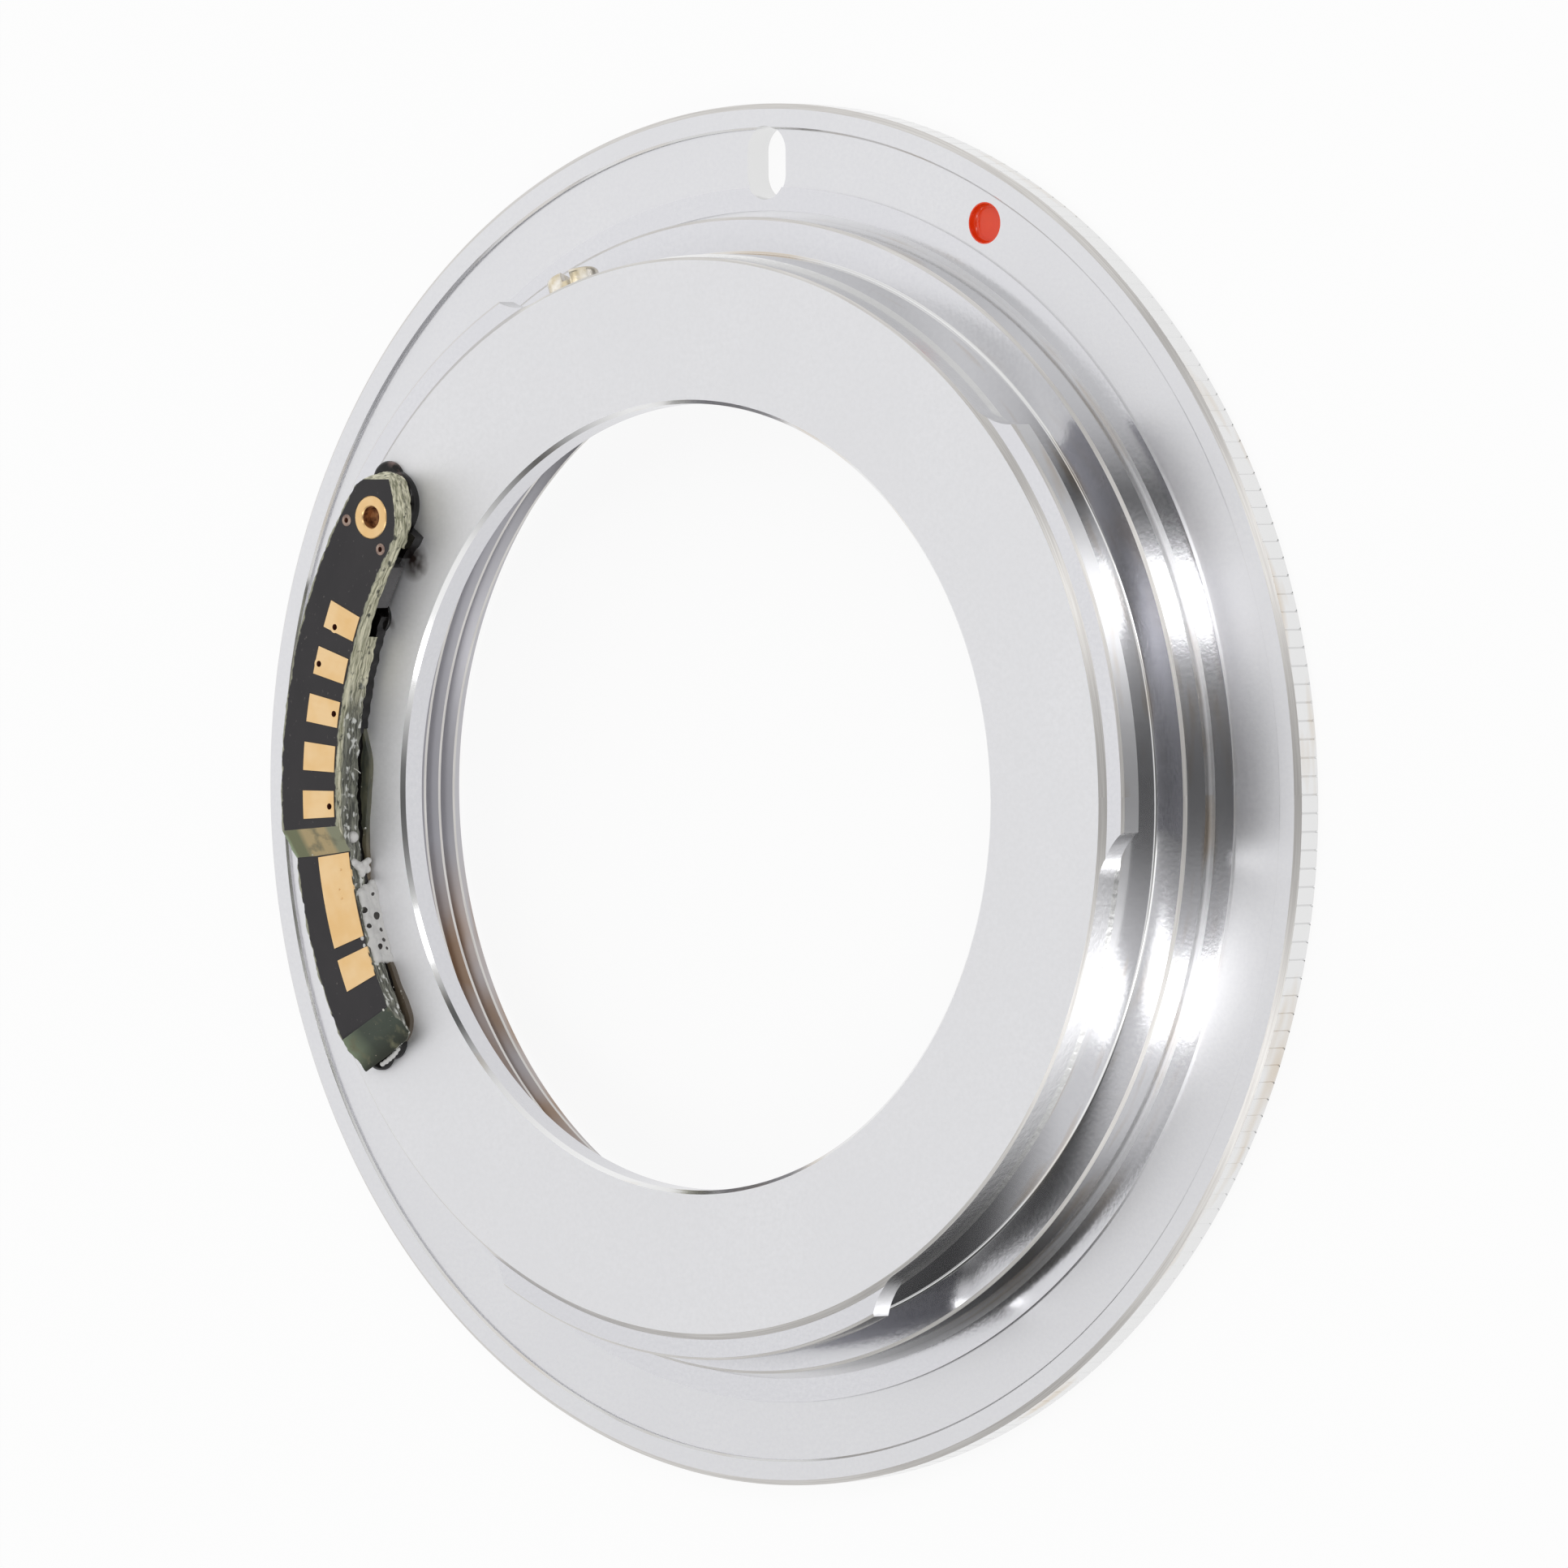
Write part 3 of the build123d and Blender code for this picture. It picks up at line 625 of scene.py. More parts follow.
def black_epoxy():
    """Poured two-part epoxy: glossy black, thinning to brown at its upper rim."""
    material, tree = new_material("black_poured_epoxy")
    spot = around(tree)
    radius, degrees = spot[:2]
    cloud = ring_noise(tree, spot, 0.7, 0.7, 0.7)
    rims = ((degrees, 140.4, 139.4), (radius, 23.3, 23.9), (radius, 20.6, 20.4), (cloud, 0.48, 0.62))
    end, outer, inner, patch = [
        node(tree, "MapRange", {"Value": source, "From Min": start, "From Max": stop})
        for source, start, stop in rims
    ]
    thin = node(tree, "Math", {0: end, 1: outer}, operation="MULTIPLY")
    thin = node(tree, "Math", {0: thin, 1: inner}, operation="MAXIMUM")
    thin = node(tree, "Math", {0: thin, 1: patch}, operation="MULTIPLY")
    tone = glaze(tree, "#100E0E", "#7A6763", thin)
    bump = node(tree, "Bump", {"Height": cloud, "Distance": 0.15 * MM, "Strength": 0.4})
    looks = {"Base Color": tone, "Roughness": 0.2, "Specular IOR Level": 0.3, "Normal": bump}
    return finished(material, node(tree, "BsdfPrincipled", looks))


def pale_sealant():
    """Cured silicone sealant: off-white grey with a dull skin and trapped bubbles."""
    looks = {"Roughness": 0.4, "IOR": 1.41}
    colours = ("#B9B8B6", "#D6D5D2")
    return mottled("pale_silicone_sealant", 0.6, 3.0, colours, (0.0, 1.0), looks, (0.08, 0.4))


def bubble_painted_shade():
    """Inside of a burst bubble in the sealant: painted shade, grey-brown and dull."""
    colours = ("#2E2C2B", "#5A5653")
    return mottled("sealant_bubble_painted_shade", 0.2, 2.0, colours, (0.0, 1.0), {"Roughness": 0.6})


def bare_fibre():
    """Bare glass fibre and crumbs of resin: white and dull, with a little grey dust."""
    colours = ("#B4B3AA", "#E6E5DE")
    return mottled("bare_glass_fibre", 0.3, 2.0, colours, (0.0, 1.0), {"Roughness": 0.5})


def moulded_package():
    """Transfer-moulded epoxy chip package: dark grey, matt, with fine pits."""
    colours = ("#454446", "#5A5858")
    return mottled("moulded_chip_package", 0.1, 3.0, colours, (0.0, 1.0), {"Roughness": 0.5}, (0.02, 0.4))


def gold_plate():
    """Thin gold over rolled copper: warm pale gold, satin, with fine rubbing marks and dust."""
    material, tree = new_material("soft_gold_plate")
    spot = around(tree)
    rub = ring_noise(tree, spot, 0.1, 1.2, 0.5, 3.0)
    cloud = ring_noise(tree, spot, 1.3, 1.3, 1.0)
    tone = glaze(tree, "#EBC48B", "#F0CF9E", cloud, 0.35, 0.65)
    rough = node(tree, "MapRange", {"Value": rub, "To Min": 0.3, "To Max": 0.42})
    bump = node(tree, "Bump", {"Height": rub, "Distance": 0.01 * MM, "Strength": 0.2})
    looks = {"Base Color": tone, "Metallic": 1.0, "Roughness": rough, "Normal": bump}
    return finished(material, node(tree, "BsdfPrincipled", looks))


def dull_metal(name, dark, light):
    """Copper or tin that was plated or drilled and then left bare: gone dull and spotted in the air."""
    looks = {"Metallic": 0.4, "Roughness": 0.5}
    return mottled(name, 0.3, 3.0, (dark, light), (0.38, 0.62), looks, (0.05, 0.5))


def fired_ceramic():
    """Fired ceramic body of the capacitor: matt tan with a fine biscuit grain."""
    colours = ("#A98B66", "#C4A683")
    return mottled("fired_tan_ceramic", 0.08, 2.0, colours, (0.0, 1.0), {"Roughness": 0.6})


# Drawing and cutting


def arc(bm, tip, centre, degrees, step=FINE_STEP):
    """Draws an arc of edges on from a vertex round an upright axis, and returns the last vertex."""
    turn = bmesh.ops.spin(
        bm,
        geom=[tip],
        cent=centre,
        axis=(0, 0, 1),
        dvec=(0, 0, 0),
        angle=math.radians(degrees),
        steps=max(2, round(abs(degrees) / step)),
    )
    return turn["geom_last"][0]


def line(bm, tip, point):
    """Draws one straight edge on from a vertex, and returns the last vertex."""
    end = bm.verts.new(point)
    bm.edges.new((tip, end))
    return end


def close_outline(bm):
    """Joins the ends of a drawn outline and fills it."""
    bmesh.ops.remove_doubles(bm, verts=bm.verts, dist=WELD)
    bmesh.ops.contextual_create(bm, geom=bm.edges[:])


def raise_outline(bm, height):
    """Turns the filled outline into an upright block."""
    raised = bmesh.ops.extrude_face_region(bm, geom=bm.faces[:])
    top = [part for part in raised["geom"] if isinstance(part, bmesh.types.BMVert)]
    bmesh.ops.translate(bm, verts=top, vec=(0, 0, height))
    bmesh.ops.recalc_face_normals(bm, faces=bm.faces)


def sector(inner, outer, start, end, bottom, top, step=FINE_STEP):
    """Block between two radii and two angles."""
    bm = bmesh.new()
    first = bm.verts.new(polar(outer, start, bottom))
    tip = arc(bm, first, (0, 0, 0), end - start, step)
    tip = line(bm, tip, polar(inner, end, bottom))
    tip = arc(bm, tip, (0, 0, 0), start - end, step)
    bm.edges.new((tip, first))
    close_outline(bm)
    raise_outline(bm, top - bottom)
    return bm


def post(radius, degrees, size, bottom, top, steps=TOOL_STEPS):
    """Round post that stands at a place on the plan."""
    bm = bmesh.new()
    place = Matrix.Translation(polar(radius, degrees, (bottom + top) / 2))
    bmesh.ops.create_cone(
        bm,
        cap_ends=True,
        segments=steps,
        radius1=size,
        radius2=size,
        depth=top - bottom,
        matrix=place,
    )
    return bm


def block(place, length, width, height):
    """Box about the origin of a frame."""
    bm = bmesh.new()
    scale = Matrix.Diagonal((length, width, height, 1.0))
    bmesh.ops.create_cube(bm, size=1.0, matrix=place @ scale)
    return bm


def quarter(radius, height, size, start, end, steps):
    """Points of a quarter round about a centre, between two angles, as radii and heights."""
    angles = [math.radians(start + (end - start) * index / steps) for index in range(steps + 1)]
    return [(radius + size * math.cos(angle), height + size * math.sin(angle)) for angle in angles]


def ease(bm, edges, size):
    """Rounds edges off."""
    bmesh.ops.bevel(
        bm,
        geom=edges,
        offset=size,
        offset_type="OFFSET",
        segments=2,
        profile=0.5,
        affect="EDGES",
        material=-1,
    )


def turned(profile, steps, place=None):
    """Closed body of revolution about +Z from a closed half section of radii and heights."""
    bm = bmesh.new()
    verts = [bm.verts.new((radius, 0, height)) for radius, height in profile]
    edges = [bm.edges.new(pair) for pair in zip(verts, verts[1:] + verts[:1])]
    bmesh.ops.spin(
        bm,
        geom=verts + edges,
        cent=(0, 0, 0),
        axis=(0, 0, 1),
        dvec=(0, 0, 0),
        angle=2 * math.pi,
        steps=steps,
        use_merge=True,
    )
    bmesh.ops.remove_doubles(bm, verts=bm.verts, dist=TURNED_WELD)
    bmesh.ops.recalc_face_normals(bm, faces=bm.faces)
    if place is not None:
        bmesh.ops.transform(bm, matrix=place, verts=bm.verts)
    return bm


def to_object(bm, name, materials=()):
    """Loose object from a drawn mesh."""
    mesh = bpy.data.meshes.new(name)
    bm.to_mesh(mesh)
    bm.free()
    for material in materials:
        mesh.materials.append(material)
    return bpy.data.objects.new(name, mesh)


def show(thing):
    """Puts an object in the scene."""
    bpy.context.scene.collection.objects.link(thing)


def worked(body):
    """Mesh and materials of an object as its modifiers leave it. The object itself is taken away."""
    ready = body.evaluated_get(bpy.context.evaluated_depsgraph_get())
    mesh = bpy.data.meshes.new_from_object(ready)
    left = bmesh.new()
    left.from_mesh(mesh)
    bpy.data.objects.remove(body)
    return left, list(mesh.materials)


def carve(bm, cutters, materials, operation="DIFFERENCE"):
    """Cuts tools out of a mesh, or joins them on. Each is a mesh and the material that it leaves."""
    body = to_object(bm, "blank", materials)
    show(body)
    tools = bpy.data.collections.new("tools")
    for tool, finish in cutters:
        tools.objects.link(to_object(tool, "tool", [finish]))
    cut = body.modifiers.new("cut", "BOOLEAN")
    cut.operation = operation
    cut.operand_type = "COLLECTION"
    cut.collection = tools
    cut.solver = "EXACT"
    cut.material_mode = "TRANSFER"
    left, used = worked(body)
    for tool in list(tools.objects):
        bpy.data.objects.remove(tool)
    bpy.data.collections.remove(tools)
    return left, used


def finish_piece(bm, name, materials, nodes=(), sharp=30):
    """Turns a drawn mesh to metres and makes it a piece of the adapter."""
    bmesh.ops.scale(bm, vec=(MM, MM, MM), verts=bm.verts)
    piece = to_object(bm, name, materials)
    piece.data.shade_smooth()
    piece.data.set_sharp_from_angle(angle=math.radians(sharp))
    show(piece)
    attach(piece, "root")
    if nodes:
        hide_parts(*nodes)
    return piece


# Ring


def ring_profile():
    """Half section of the turned ring, from the lens side round to the lip."""
    rim_level = SEAT_LEVEL + RIM_STEP
    land_level = SEAT_LEVEL + LAND_STEP
    relief_level = land_level - RELIEF_DEPTH
    outline = [
        (THREAD_RADIUS + BORE_CHAMFER, 0),
        (FLANGE_RADIUS - RIM_CHAMFER, 0),
        (FLANGE_RADIUS, RIM_CHAMFER),
        (FLANGE_RADIUS, RIM_CHAMFER + KNURL_RUNOUT),
        (FLANGE_RADIUS, rim_level - RIM_CHAMFER - KNURL_RUNOUT),
        (FLANGE_RADIUS, rim_level - RIM_CHAMFER),
        (FLANGE_RADIUS - RIM_CHAMFER, rim_level),
        (SEAT_OUTER_RADIUS + STEP_BEVEL, rim_level),
        (SEAT_OUTER_RADIUS, rim_level - STEP_BEVEL),
        (SEAT_OUTER_RADIUS, SEAT_LEVEL),
        (SEAT_INNER_RADIUS, SEAT_LEVEL),
        (SEAT_INNER_RADIUS, land_level),
        (REGISTER_RADIUS + RELIEF_WIDTH, land_level),
        (REGISTER_RADIUS + RELIEF_WIDTH, relief_level),
        (REGISTER_RADIUS, relief_level),
        (REGISTER_RADIUS, REGISTER_LEVEL - REGISTER_CHAMFER),
        (REGISTER_RADIUS - REGISTER_CHAMFER, REGISTER_LEVEL),
    ]
    centre = (BOSS_RADIUS + BOSS_FILLET, REGISTER_LEVEL + BOSS_FILLET)
    outline += quarter(*centre, BOSS_FILLET, -90, -180, FILLET_STEPS)
    return outline + [
        (BOSS_RADIUS, LUG_BOTTOM),
        (LUG_RADIUS, LUG_BOTTOM),
        (LUG_RADIUS, LUG_TOP - LUG_CHAMFER),
        (LUG_RADIUS - LUG_CHAMFER, LUG_TOP),
        (BOSS_RADIUS, LUG_TOP),
        (BOSS_RADIUS - BOSS_CHAMFER, FACE_LEVEL),
        (LIP_RADIUS + LIP_CHAMFER, FACE_LEVEL),
        (LIP_RADIUS, FACE_LEVEL - LIP_CHAMFER),
        (LIP_RADIUS, LIP_BOTTOM),
        (THREAD_RADIUS, LIP_BOTTOM),
        (THREAD_RADIUS, BORE_CHAMFER),
    ]


def knurl(bm):
    """Presses fine upright grooves into the rim, between its two bevels."""
    tooth = 360 / KNURL_COUNT
    step = 360 / RING_STEPS
    half = math.degrees(KNURL_WIDTH / 2 / FLANGE_RADIUS)
    low = RIM_CHAMFER + KNURL_RUNOUT / 2
    high = SEAT_LEVEL + RIM_STEP - low
    for vert in bm.verts:
        if vert.co.xy.length < FLANGE_RADIUS - CLOSE:
            continue
        angle = math.degrees(math.atan2(vert.co.y, vert.co.x))
        middle = round(angle / tooth) * tooth
        away = angle - middle
        if abs(away) < step / 2:
            depth = KNURL_DEPTH if low < vert.co.z < high else 0
            vert.co = polar(FLANGE_RADIUS - depth, middle, vert.co.z)
        elif abs(away) < 1.5 * step:
            vert.co = polar(FLANGE_RADIUS, middle + math.copysign(half, away), vert.co.z)


def lug_gap_tools(start, end):
    """Path of the end mill that clears the space between two lugs: a band with a round at each end."""
    pocket_radius = BOSS_RADIUS - POCKET_BITE
    mill_path = pocket_radius + LUG_MILL_RADIUS
    reach = (mill_path**2 + LUG_RADIUS**2 - LUG_MILL_RADIUS**2) / (2 * mill_path * LUG_RADIUS)
    swing = math.degrees(math.acos(reach))
    top = FACE_LEVEL + OVERCUT
    outer = mill_path + LUG_MILL_RADIUS
    tools = [sector(pocket_radius, outer, start + swing, end - swing, LUG_BOTTOM, top, 360 / RING_STEPS)]
    for angle in (start + swing, end - swing):
        tools.append(post(mill_path, angle, LUG_MILL_RADIUS, LUG_BOTTOM, top, MILL_STEPS))
    return tools


def slot_tool():
    """Round-ended cutter of the locking slot."""
    bm = bmesh.new()
    half = (SLOT_LENGTH - SLOT_WIDTH) / 2
    side = SLOT_WIDTH / 2
    outer_centre = polar(SLOT_RADIUS + half, SLOT_ANGLE, -OVERCUT)
    inner_centre = polar(SLOT_RADIUS - half, SLOT_ANGLE, -OVERCUT)
    across = polar(side, SLOT_ANGLE - 90)
    first = bm.verts.new(outer_centre + across)
    tip = arc(bm, first, outer_centre, 180, SLOT_STEP)
    tip = line(bm, tip, inner_centre - across)
    tip = arc(bm, tip, inner_centre, 180, SLOT_STEP)
    bm.edges.new((tip, first))
    close_outline(bm)
    raise_outline(bm, FLANGE_THICKNESS + 2 * OVERCUT)
    return bm


def screw_place():
    """Frame of the stop screw at its seat, with Z pointing out along the screw."""
    out = polar(1, SCREW_ANGLE)
    up = Vector((0, 0, 1))
    side = out.cross(up)
    turn = Matrix((up, side, out)).transposed().to_4x4()
    return Matrix.Translation(polar(SCREW_SEAT_RADIUS, SCREW_ANGLE, SEAT_LEVEL + SCREW_HEIGHT)) @ turn


def ring_finish(face):
    """Which of the ring's finishes a turned face has."""
    middle = face.calc_center_median()
    radius, upright = middle.xy.length, abs(face.normal.z)
    if upright > LEVEL_FACE:
        if middle.z > FACE_LEVEL - CLOSE:
            return FACE
        land = REGISTER_RADIUS < radius < SEAT_INNER_RADIUS and middle.z > SEAT_LEVEL
        return RUBBED_SHADED if land or middle.z > REGISTER_LEVEL - CLOSE else FLAT
    if radius < THREAD_RADIUS + CLOSE and middle.z < LIP_BOTTOM:
        return BORE
    # The lip's wall takes the darker rubbed plate, whose tone is partly painted shade
    if radius < LIP_RADIUS + CLOSE:
        return RUBBED_SHADED
    if abs(radius - SEAT_OUTER_RADIUS) < CLOSE:
        return FACE
    bevel = BEVEL_FACE[0] < upright < BEVEL_FACE[1]
    inward = face.normal.xy.dot(middle.xy) < 0
    fillet = REGISTER_LEVEL < middle.z < REGISTER_LEVEL + BOSS_FILLET
    return BEVEL if bevel and not fillet and not inward else WALL


def adapter_ring(finishes, milled):
    """The one-piece ring, turned, knurled and milled."""
    bm = turned(ring_profile(), RING_STEPS)
    knurl(bm)
    for face in bm.faces:
        face.material_index = ring_finish(face)
    cutters = []
    for index, span in enumerate(LUG_SPANS):
        following = LUG_SPANS[(index + 1) % len(LUG_SPANS)][0]
        if following < span[1]:
            following += 360
        cutters += [(tool, milled) for tool in lug_gap_tools(span[1], following)]
    cutters.append((slot_tool(), milled))
    dot = post(DOT_PLACE, DOT_ANGLE, DOT_RADIUS, SEAT_LEVEL - DOT_DEPTH, SEAT_LEVEL + OVERCUT)
    cutters.append((dot, milled))
    seat = [(0, 0), (SCREW_HEAD_RADIUS, 0), (SCREW_HEAD_RADIUS, OVERCUT), (0, OVERCUT)]
    cutters.append((turned(seat, TOOL_STEPS, screw_place()), milled))
    bm, used = carve(bm, cutters, finishes)
    return finish_piece(bm, "adapter_ring", used, ["adapter_body"])


def lens_thread(plate, crests):
    """Helical ridge of the lens thread, let a little into the bore's wall, with rubbed crests."""
    bm = bmesh.new()
    root = THREAD_RADIUS + WALL_BITE
    crest = THREAD_RADIUS - THREAD_DEPTH
    section = [
        (root, -ROOT_WIDTH / 2),
        (THREAD_RADIUS, -ROOT_WIDTH / 2),
        (crest, -CREST_WIDTH / 2),
        (crest, CREST_WIDTH / 2),
        (THREAD_RADIUS, ROOT_WIDTH / 2),
        (root, ROOT_WIDTH / 2),
    ]
    start = THREAD_START + ROOT_WIDTH / 2
    verts = [bm.verts.new((radius, 0, start + height)) for radius, height in section]
    face = bm.faces.new(verts)
    bmesh.ops.spin(
        bm,
        geom=[face],
        cent=(0, 0, 0),
        axis=(0, 0, 1),
        dvec=(0, 0, THREAD_PITCH / THREAD_STEPS),
        angle=2 * math.pi * THREAD_TURNS,
        steps=round(THREAD_TURNS * THREAD_STEPS),
    )
    bmesh.ops.recalc_face_normals(bm, faces=bm.faces)
    for face in bm.faces:
        face.material_index = 1 if face.calc_center_median().xy.length < crest + CLOSE else 0
    return finish_piece(bm, "lens_thread", [plate, crests])


def index_dot(enamel):
    """Red enamel in its recess, drawn up the wall in a small fillet."""
    bottom = SEAT_LEVEL - DOT_DEPTH
    inner = DOT_RADIUS - ENAMEL_WALL
    floor = bottom + ENAMEL_FLOOR
    profile = [(0, bottom), (DOT_RADIUS, bottom), (DOT_RADIUS, SEAT_LEVEL), (inner, SEAT_LEVEL)]
    centre = (inner - ENAMEL_FILLET, floor + ENAMEL_FILLET)
    profile += quarter(*centre, ENAMEL_FILLET, 0, -90, ROUNDING_STEPS)
    profile.append((0, floor))
    place = Matrix.Translation(polar(DOT_PLACE, DOT_ANGLE))
    bm = turned(profile, HEAD_STEPS, place)
    return finish_piece(bm, "index_dot_enamel", [enamel], ["index_dot"], sharp=50)


def stop_screw(plate):
    """Slotted screw with a rounded head edge."""
    low = SCREW_HEAD_HEIGHT - SCREW_ROUND
    profile = [(0, -SCREW_SHANK_LENGTH), (SCREW_SHANK_RADIUS, -SCREW_SHANK_LENGTH), (SCREW_SHANK_RADIUS, 0)]
    profile.append((SCREW_HEAD_RADIUS, 0))
    profile += quarter(SCREW_HEAD_RADIUS - SCREW_ROUND, low, SCREW_ROUND, 0, 90, ROUNDING_STEPS)
    profile.append((0, SCREW_HEAD_HEIGHT))
    bm = turned(profile, HEAD_STEPS, screw_place())
    turn = Matrix.Rotation(math.radians(SCREW_SLOT_TURN), 4, "Z")
    lift = Matrix.Translation((0, 0, SCREW_HEAD_HEIGHT))
    place = screw_place() @ lift @ turn
    slot = block(place, 3 * SCREW_HEAD_RADIUS, SCREW_SLOT_WIDTH, 2 * SCREW_SLOT_DEPTH)
    bm, used = carve(bm, [(slot, plate)], [plate])
    return finish_piece(bm, "stop_screw_head", used, ["stop_screw"])


# Board


def laminate(end, bottom, height, inner, stretch, setback=0.0, wear=WALL_WEAR):
    """Arc of laminate with a leaning round end, whose sawn walls run in and out a little."""
    bm = bmesh.new()
    tip = bm.verts.new(polar(inner, BOARD_START, bottom))
    end_centre = polar((inner + BOARD_OUTER_RADIUS) / 2, BOARD_START, bottom)
    tip = arc(bm, tip, end_centre, 180, ROUND_END_STEP)
    tip = arc(bm, tip, (0, 0, bottom), end - BOARD_START, SAWN_STEP)
    tip = line(bm, tip, polar(inner, end, bottom))
    arc(bm, tip, (0, 0, bottom), BOARD_START - end, SAWN_STEP)
    close_outline(bm)
    raise_outline(bm, height)
    for row in range(1, SAWN_ROWS):
        level = bottom + height * row / SAWN_ROWS
        everything = bm.verts[:] + bm.edges[:] + bm.faces[:]
        bmesh.ops.bisect_plane(bm, geom=everything, plane_co=(0, 0, level), plane_no=(0, 0, 1))
    for vert in bm.verts:
        radius = vert.co.xy.length
        degrees = math.degrees(math.atan2(vert.co.y, vert.co.x)) % 360
        share = (BOARD_OUTER_RADIUS - radius) / (BOARD_OUTER_RADIUS - inner)
        if degrees < BOARD_START:
            degrees -= stretch * (BOARD_START - degrees)
        past = max(0, math.radians(LEAN_START - degrees) * BOARD_MID_RADIUS)
        radius += share * LEAN * past**2
        if degrees < NOTCH_START:
            radius += share * setback
        vert.co = polar(radius, degrees, vert.co.z)
    bm.normal_update()
    moves = []
    for vert in bm.verts:
        out = Vector((vert.normal.x, vert.normal.y, 0)).normalized()
        grain = noise.noise(vert.co * WALL_WAVES) + CHIPS_SHARE * noise.noise(vert.co * WALL_CHIPS)
        moves.append((vert, out * (grain - WEAR_OFFSET) * wear))
    for vert, move in moves:
        vert.co += move
    for face in bm.faces:
        face.material_index = 0 if face.normal.z > MASK_FACE else 1
    return bm


def half_space(place, normal, size=6.0):
    """Block whose lower face passes through a place, square to a direction."""
    turn = normal.to_track_quat("Z", "Y").to_matrix().to_4x4()
    return block(Matrix.Translation(place + normal * size / 2) @ turn, size, size, size)


def file_tool(degrees, top, run):
    """Block whose lower face files the end of a laminate down to a slope."""
    out = polar(1, degrees)
    along = Vector((0, 0, 1)).cross(out)
    slope = (along * run - Vector((0, 0, LAMINATE))).normalized()
    normal = out.cross(slope)
    if normal.z < 0:
        normal = -normal
    return half_space(polar(BOARD_MID_RADIUS, degrees, top), normal)


def facet_tool():
    """Block that files a small facet off the outer edge of the round end."""
    out = polar(1, END_FACET_PLACE[1])
    back = out.cross(Vector((0, 0, 1)))
    outward, backward, upward = END_FACET_LEAN
    level = outward * out + backward * back
    normal = (level + Vector((0, 0, upward))).normalized()
    place = polar(*END_FACET_PLACE, BOARD_LEVEL)
    return half_space(place - END_FACET * level.normalized(), normal)


def corner_tool():
    """Upright block that takes off the inner corner at the low end of the board."""
    tip = BASE_END + BASE_BEVEL_ARC
    run = math.degrees(CORNER_CUT / BOARD_INNER_RADIUS)
    bm = bmesh.new()
    inside = BOARD_INNER_RADIUS - OVERCUT
    across = BOARD_INNER_RADIUS + CORNER_CUT
    corners = [(inside, tip - 2 * run), (across, tip), (across, tip + run), (inside, tip + run)]
    verts = [bm.verts.new(polar(radius, angle, FACE_LEVEL - OVERCUT)) for radius, angle in corners]
    bm.faces.new(verts)
    raise_outline(bm, BED_THICKNESS + LAMINATE + 2 * OVERCUT)
    return bm


def pad_block(start, degrees, level):
    """Block of a flat contact that is let into a laminate and stands slightly proud."""
    top = level + PAD_PROUD
    outer = PAD_INNER_RADIUS + PAD_LENGTH
    return sector(PAD_INNER_RADIUS, outer, start, start + degrees, top - PAD_THICKNESS, top)


def top_laminate(mask, sawn, filed, copper):
    """Upper laminate, filed at its low end, with seats for its contacts and drilled vias."""
    bm = laminate(TOP_END + TOP_BEVEL_ARC, TOP_LEVEL, LAMINATE, TOP_INNER_RADIUS, TOP_STRETCH)
    cutters = [(file_tool(TOP_END, BOARD_LEVEL, TOP_BEVEL_RUN), filed), (facet_tool(), sawn)]
    cutters += [(pad_block(start, PAD_ARC, BOARD_LEVEL), sawn) for start in PAD_STARTS]
    eyelet = (BOARD_MID_RADIUS, BOARD_START)
    over = BOARD_LEVEL + OVERCUT
    cutters.append((post(*eyelet, EYELET_RADIUS, PAD_BOTTOM, over), sawn))
    cutters.append((post(*eyelet, EYELET_HOLE_RADIUS + PAD_THICKNESS, EYELET_SEAT, over), sawn))
    for place in VIA_PLACES:
        cutters.append((post(*place, VIA_RADIUS, VIA_FLOOR, over, VIA_HOLE_STEPS), copper))
    for _, *place in PAD_VIAS:
        cutters.append((post(*place, PAD_VIA_RADIUS, PAD_VIA_FLOOR, over, VIA_HOLE_STEPS), copper))
    bm, used = carve(bm, cutters, [mask, sawn])
    return finish_piece(bm, "top_laminate", used, ["top_board"])


def base_laminate(mask, sawn, filed, epoxy):
    """Lower laminate, longer, with the controller's notch in its inner edge."""
    end = BASE_END + BASE_BEVEL_ARC
    bm = laminate(end, BASE_LEVEL, LAMINATE, BOARD_INNER_RADIUS, BASE_STRETCH, BASE_SETBACK, BASE_WEAR)
    inside = BOARD_INNER_RADIUS - OVERCUT
    outside = BOARD_INNER_RADIUS + NOTCH_DEPTH
    notch = sector(inside, outside, NOTCH_START, NOTCH_END, BASE_LEVEL - OVERCUT, TOP_LEVEL + OVERCUT)
    cutters = [
        (file_tool(BASE_END, TOP_LEVEL, BASE_BEVEL_RUN), filed),
        (corner_tool(), sawn),
        # The notch's walls take the black epoxy, partly as resin and partly as painted shade in the notch
        (notch, epoxy),
        (pad_block(*LONG_PAD, TOP_LEVEL), sawn),
        (pad_block(*END_PAD, TOP_LEVEL), sawn),
    ]
    bm, used = carve(bm, cutters, [mask, sawn])
    return finish_piece(bm, "base_laminate", used, ["base_board"])


def square_contacts(gold, copper):
    """Square gold contacts. A plated via bites into most of them, with its ring bulging past the edge."""
    ends = (PAD_BOTTOM, PAD_TOP, VIA_RING_STEPS)
    past_ends = (PAD_BOTTOM - OVERCUT, PAD_TOP + OVERCUT, VIA_HOLE_STEPS)
    for index, start in enumerate(PAD_STARTS):
        bm = pad_block(start, PAD_ARC, BOARD_LEVEL)
        used = [gold]
        vias = [place for number, *place in PAD_VIAS if number == index]
        if vias:
            rings = [(post(*place, VIA_RING_RADIUS, *ends), gold) for place in vias]
            bm, used = carve(bm, rings, used, "UNION")
            holes = [(post(*place, PAD_VIA_RADIUS, *past_ends), copper) for place in vias]
            bm, used = carve(bm, holes, used)
        name = f"square_contact_{index + 1}"
        finish_piece(bm, name, used, [f"contact_pad_{index + 1}"])


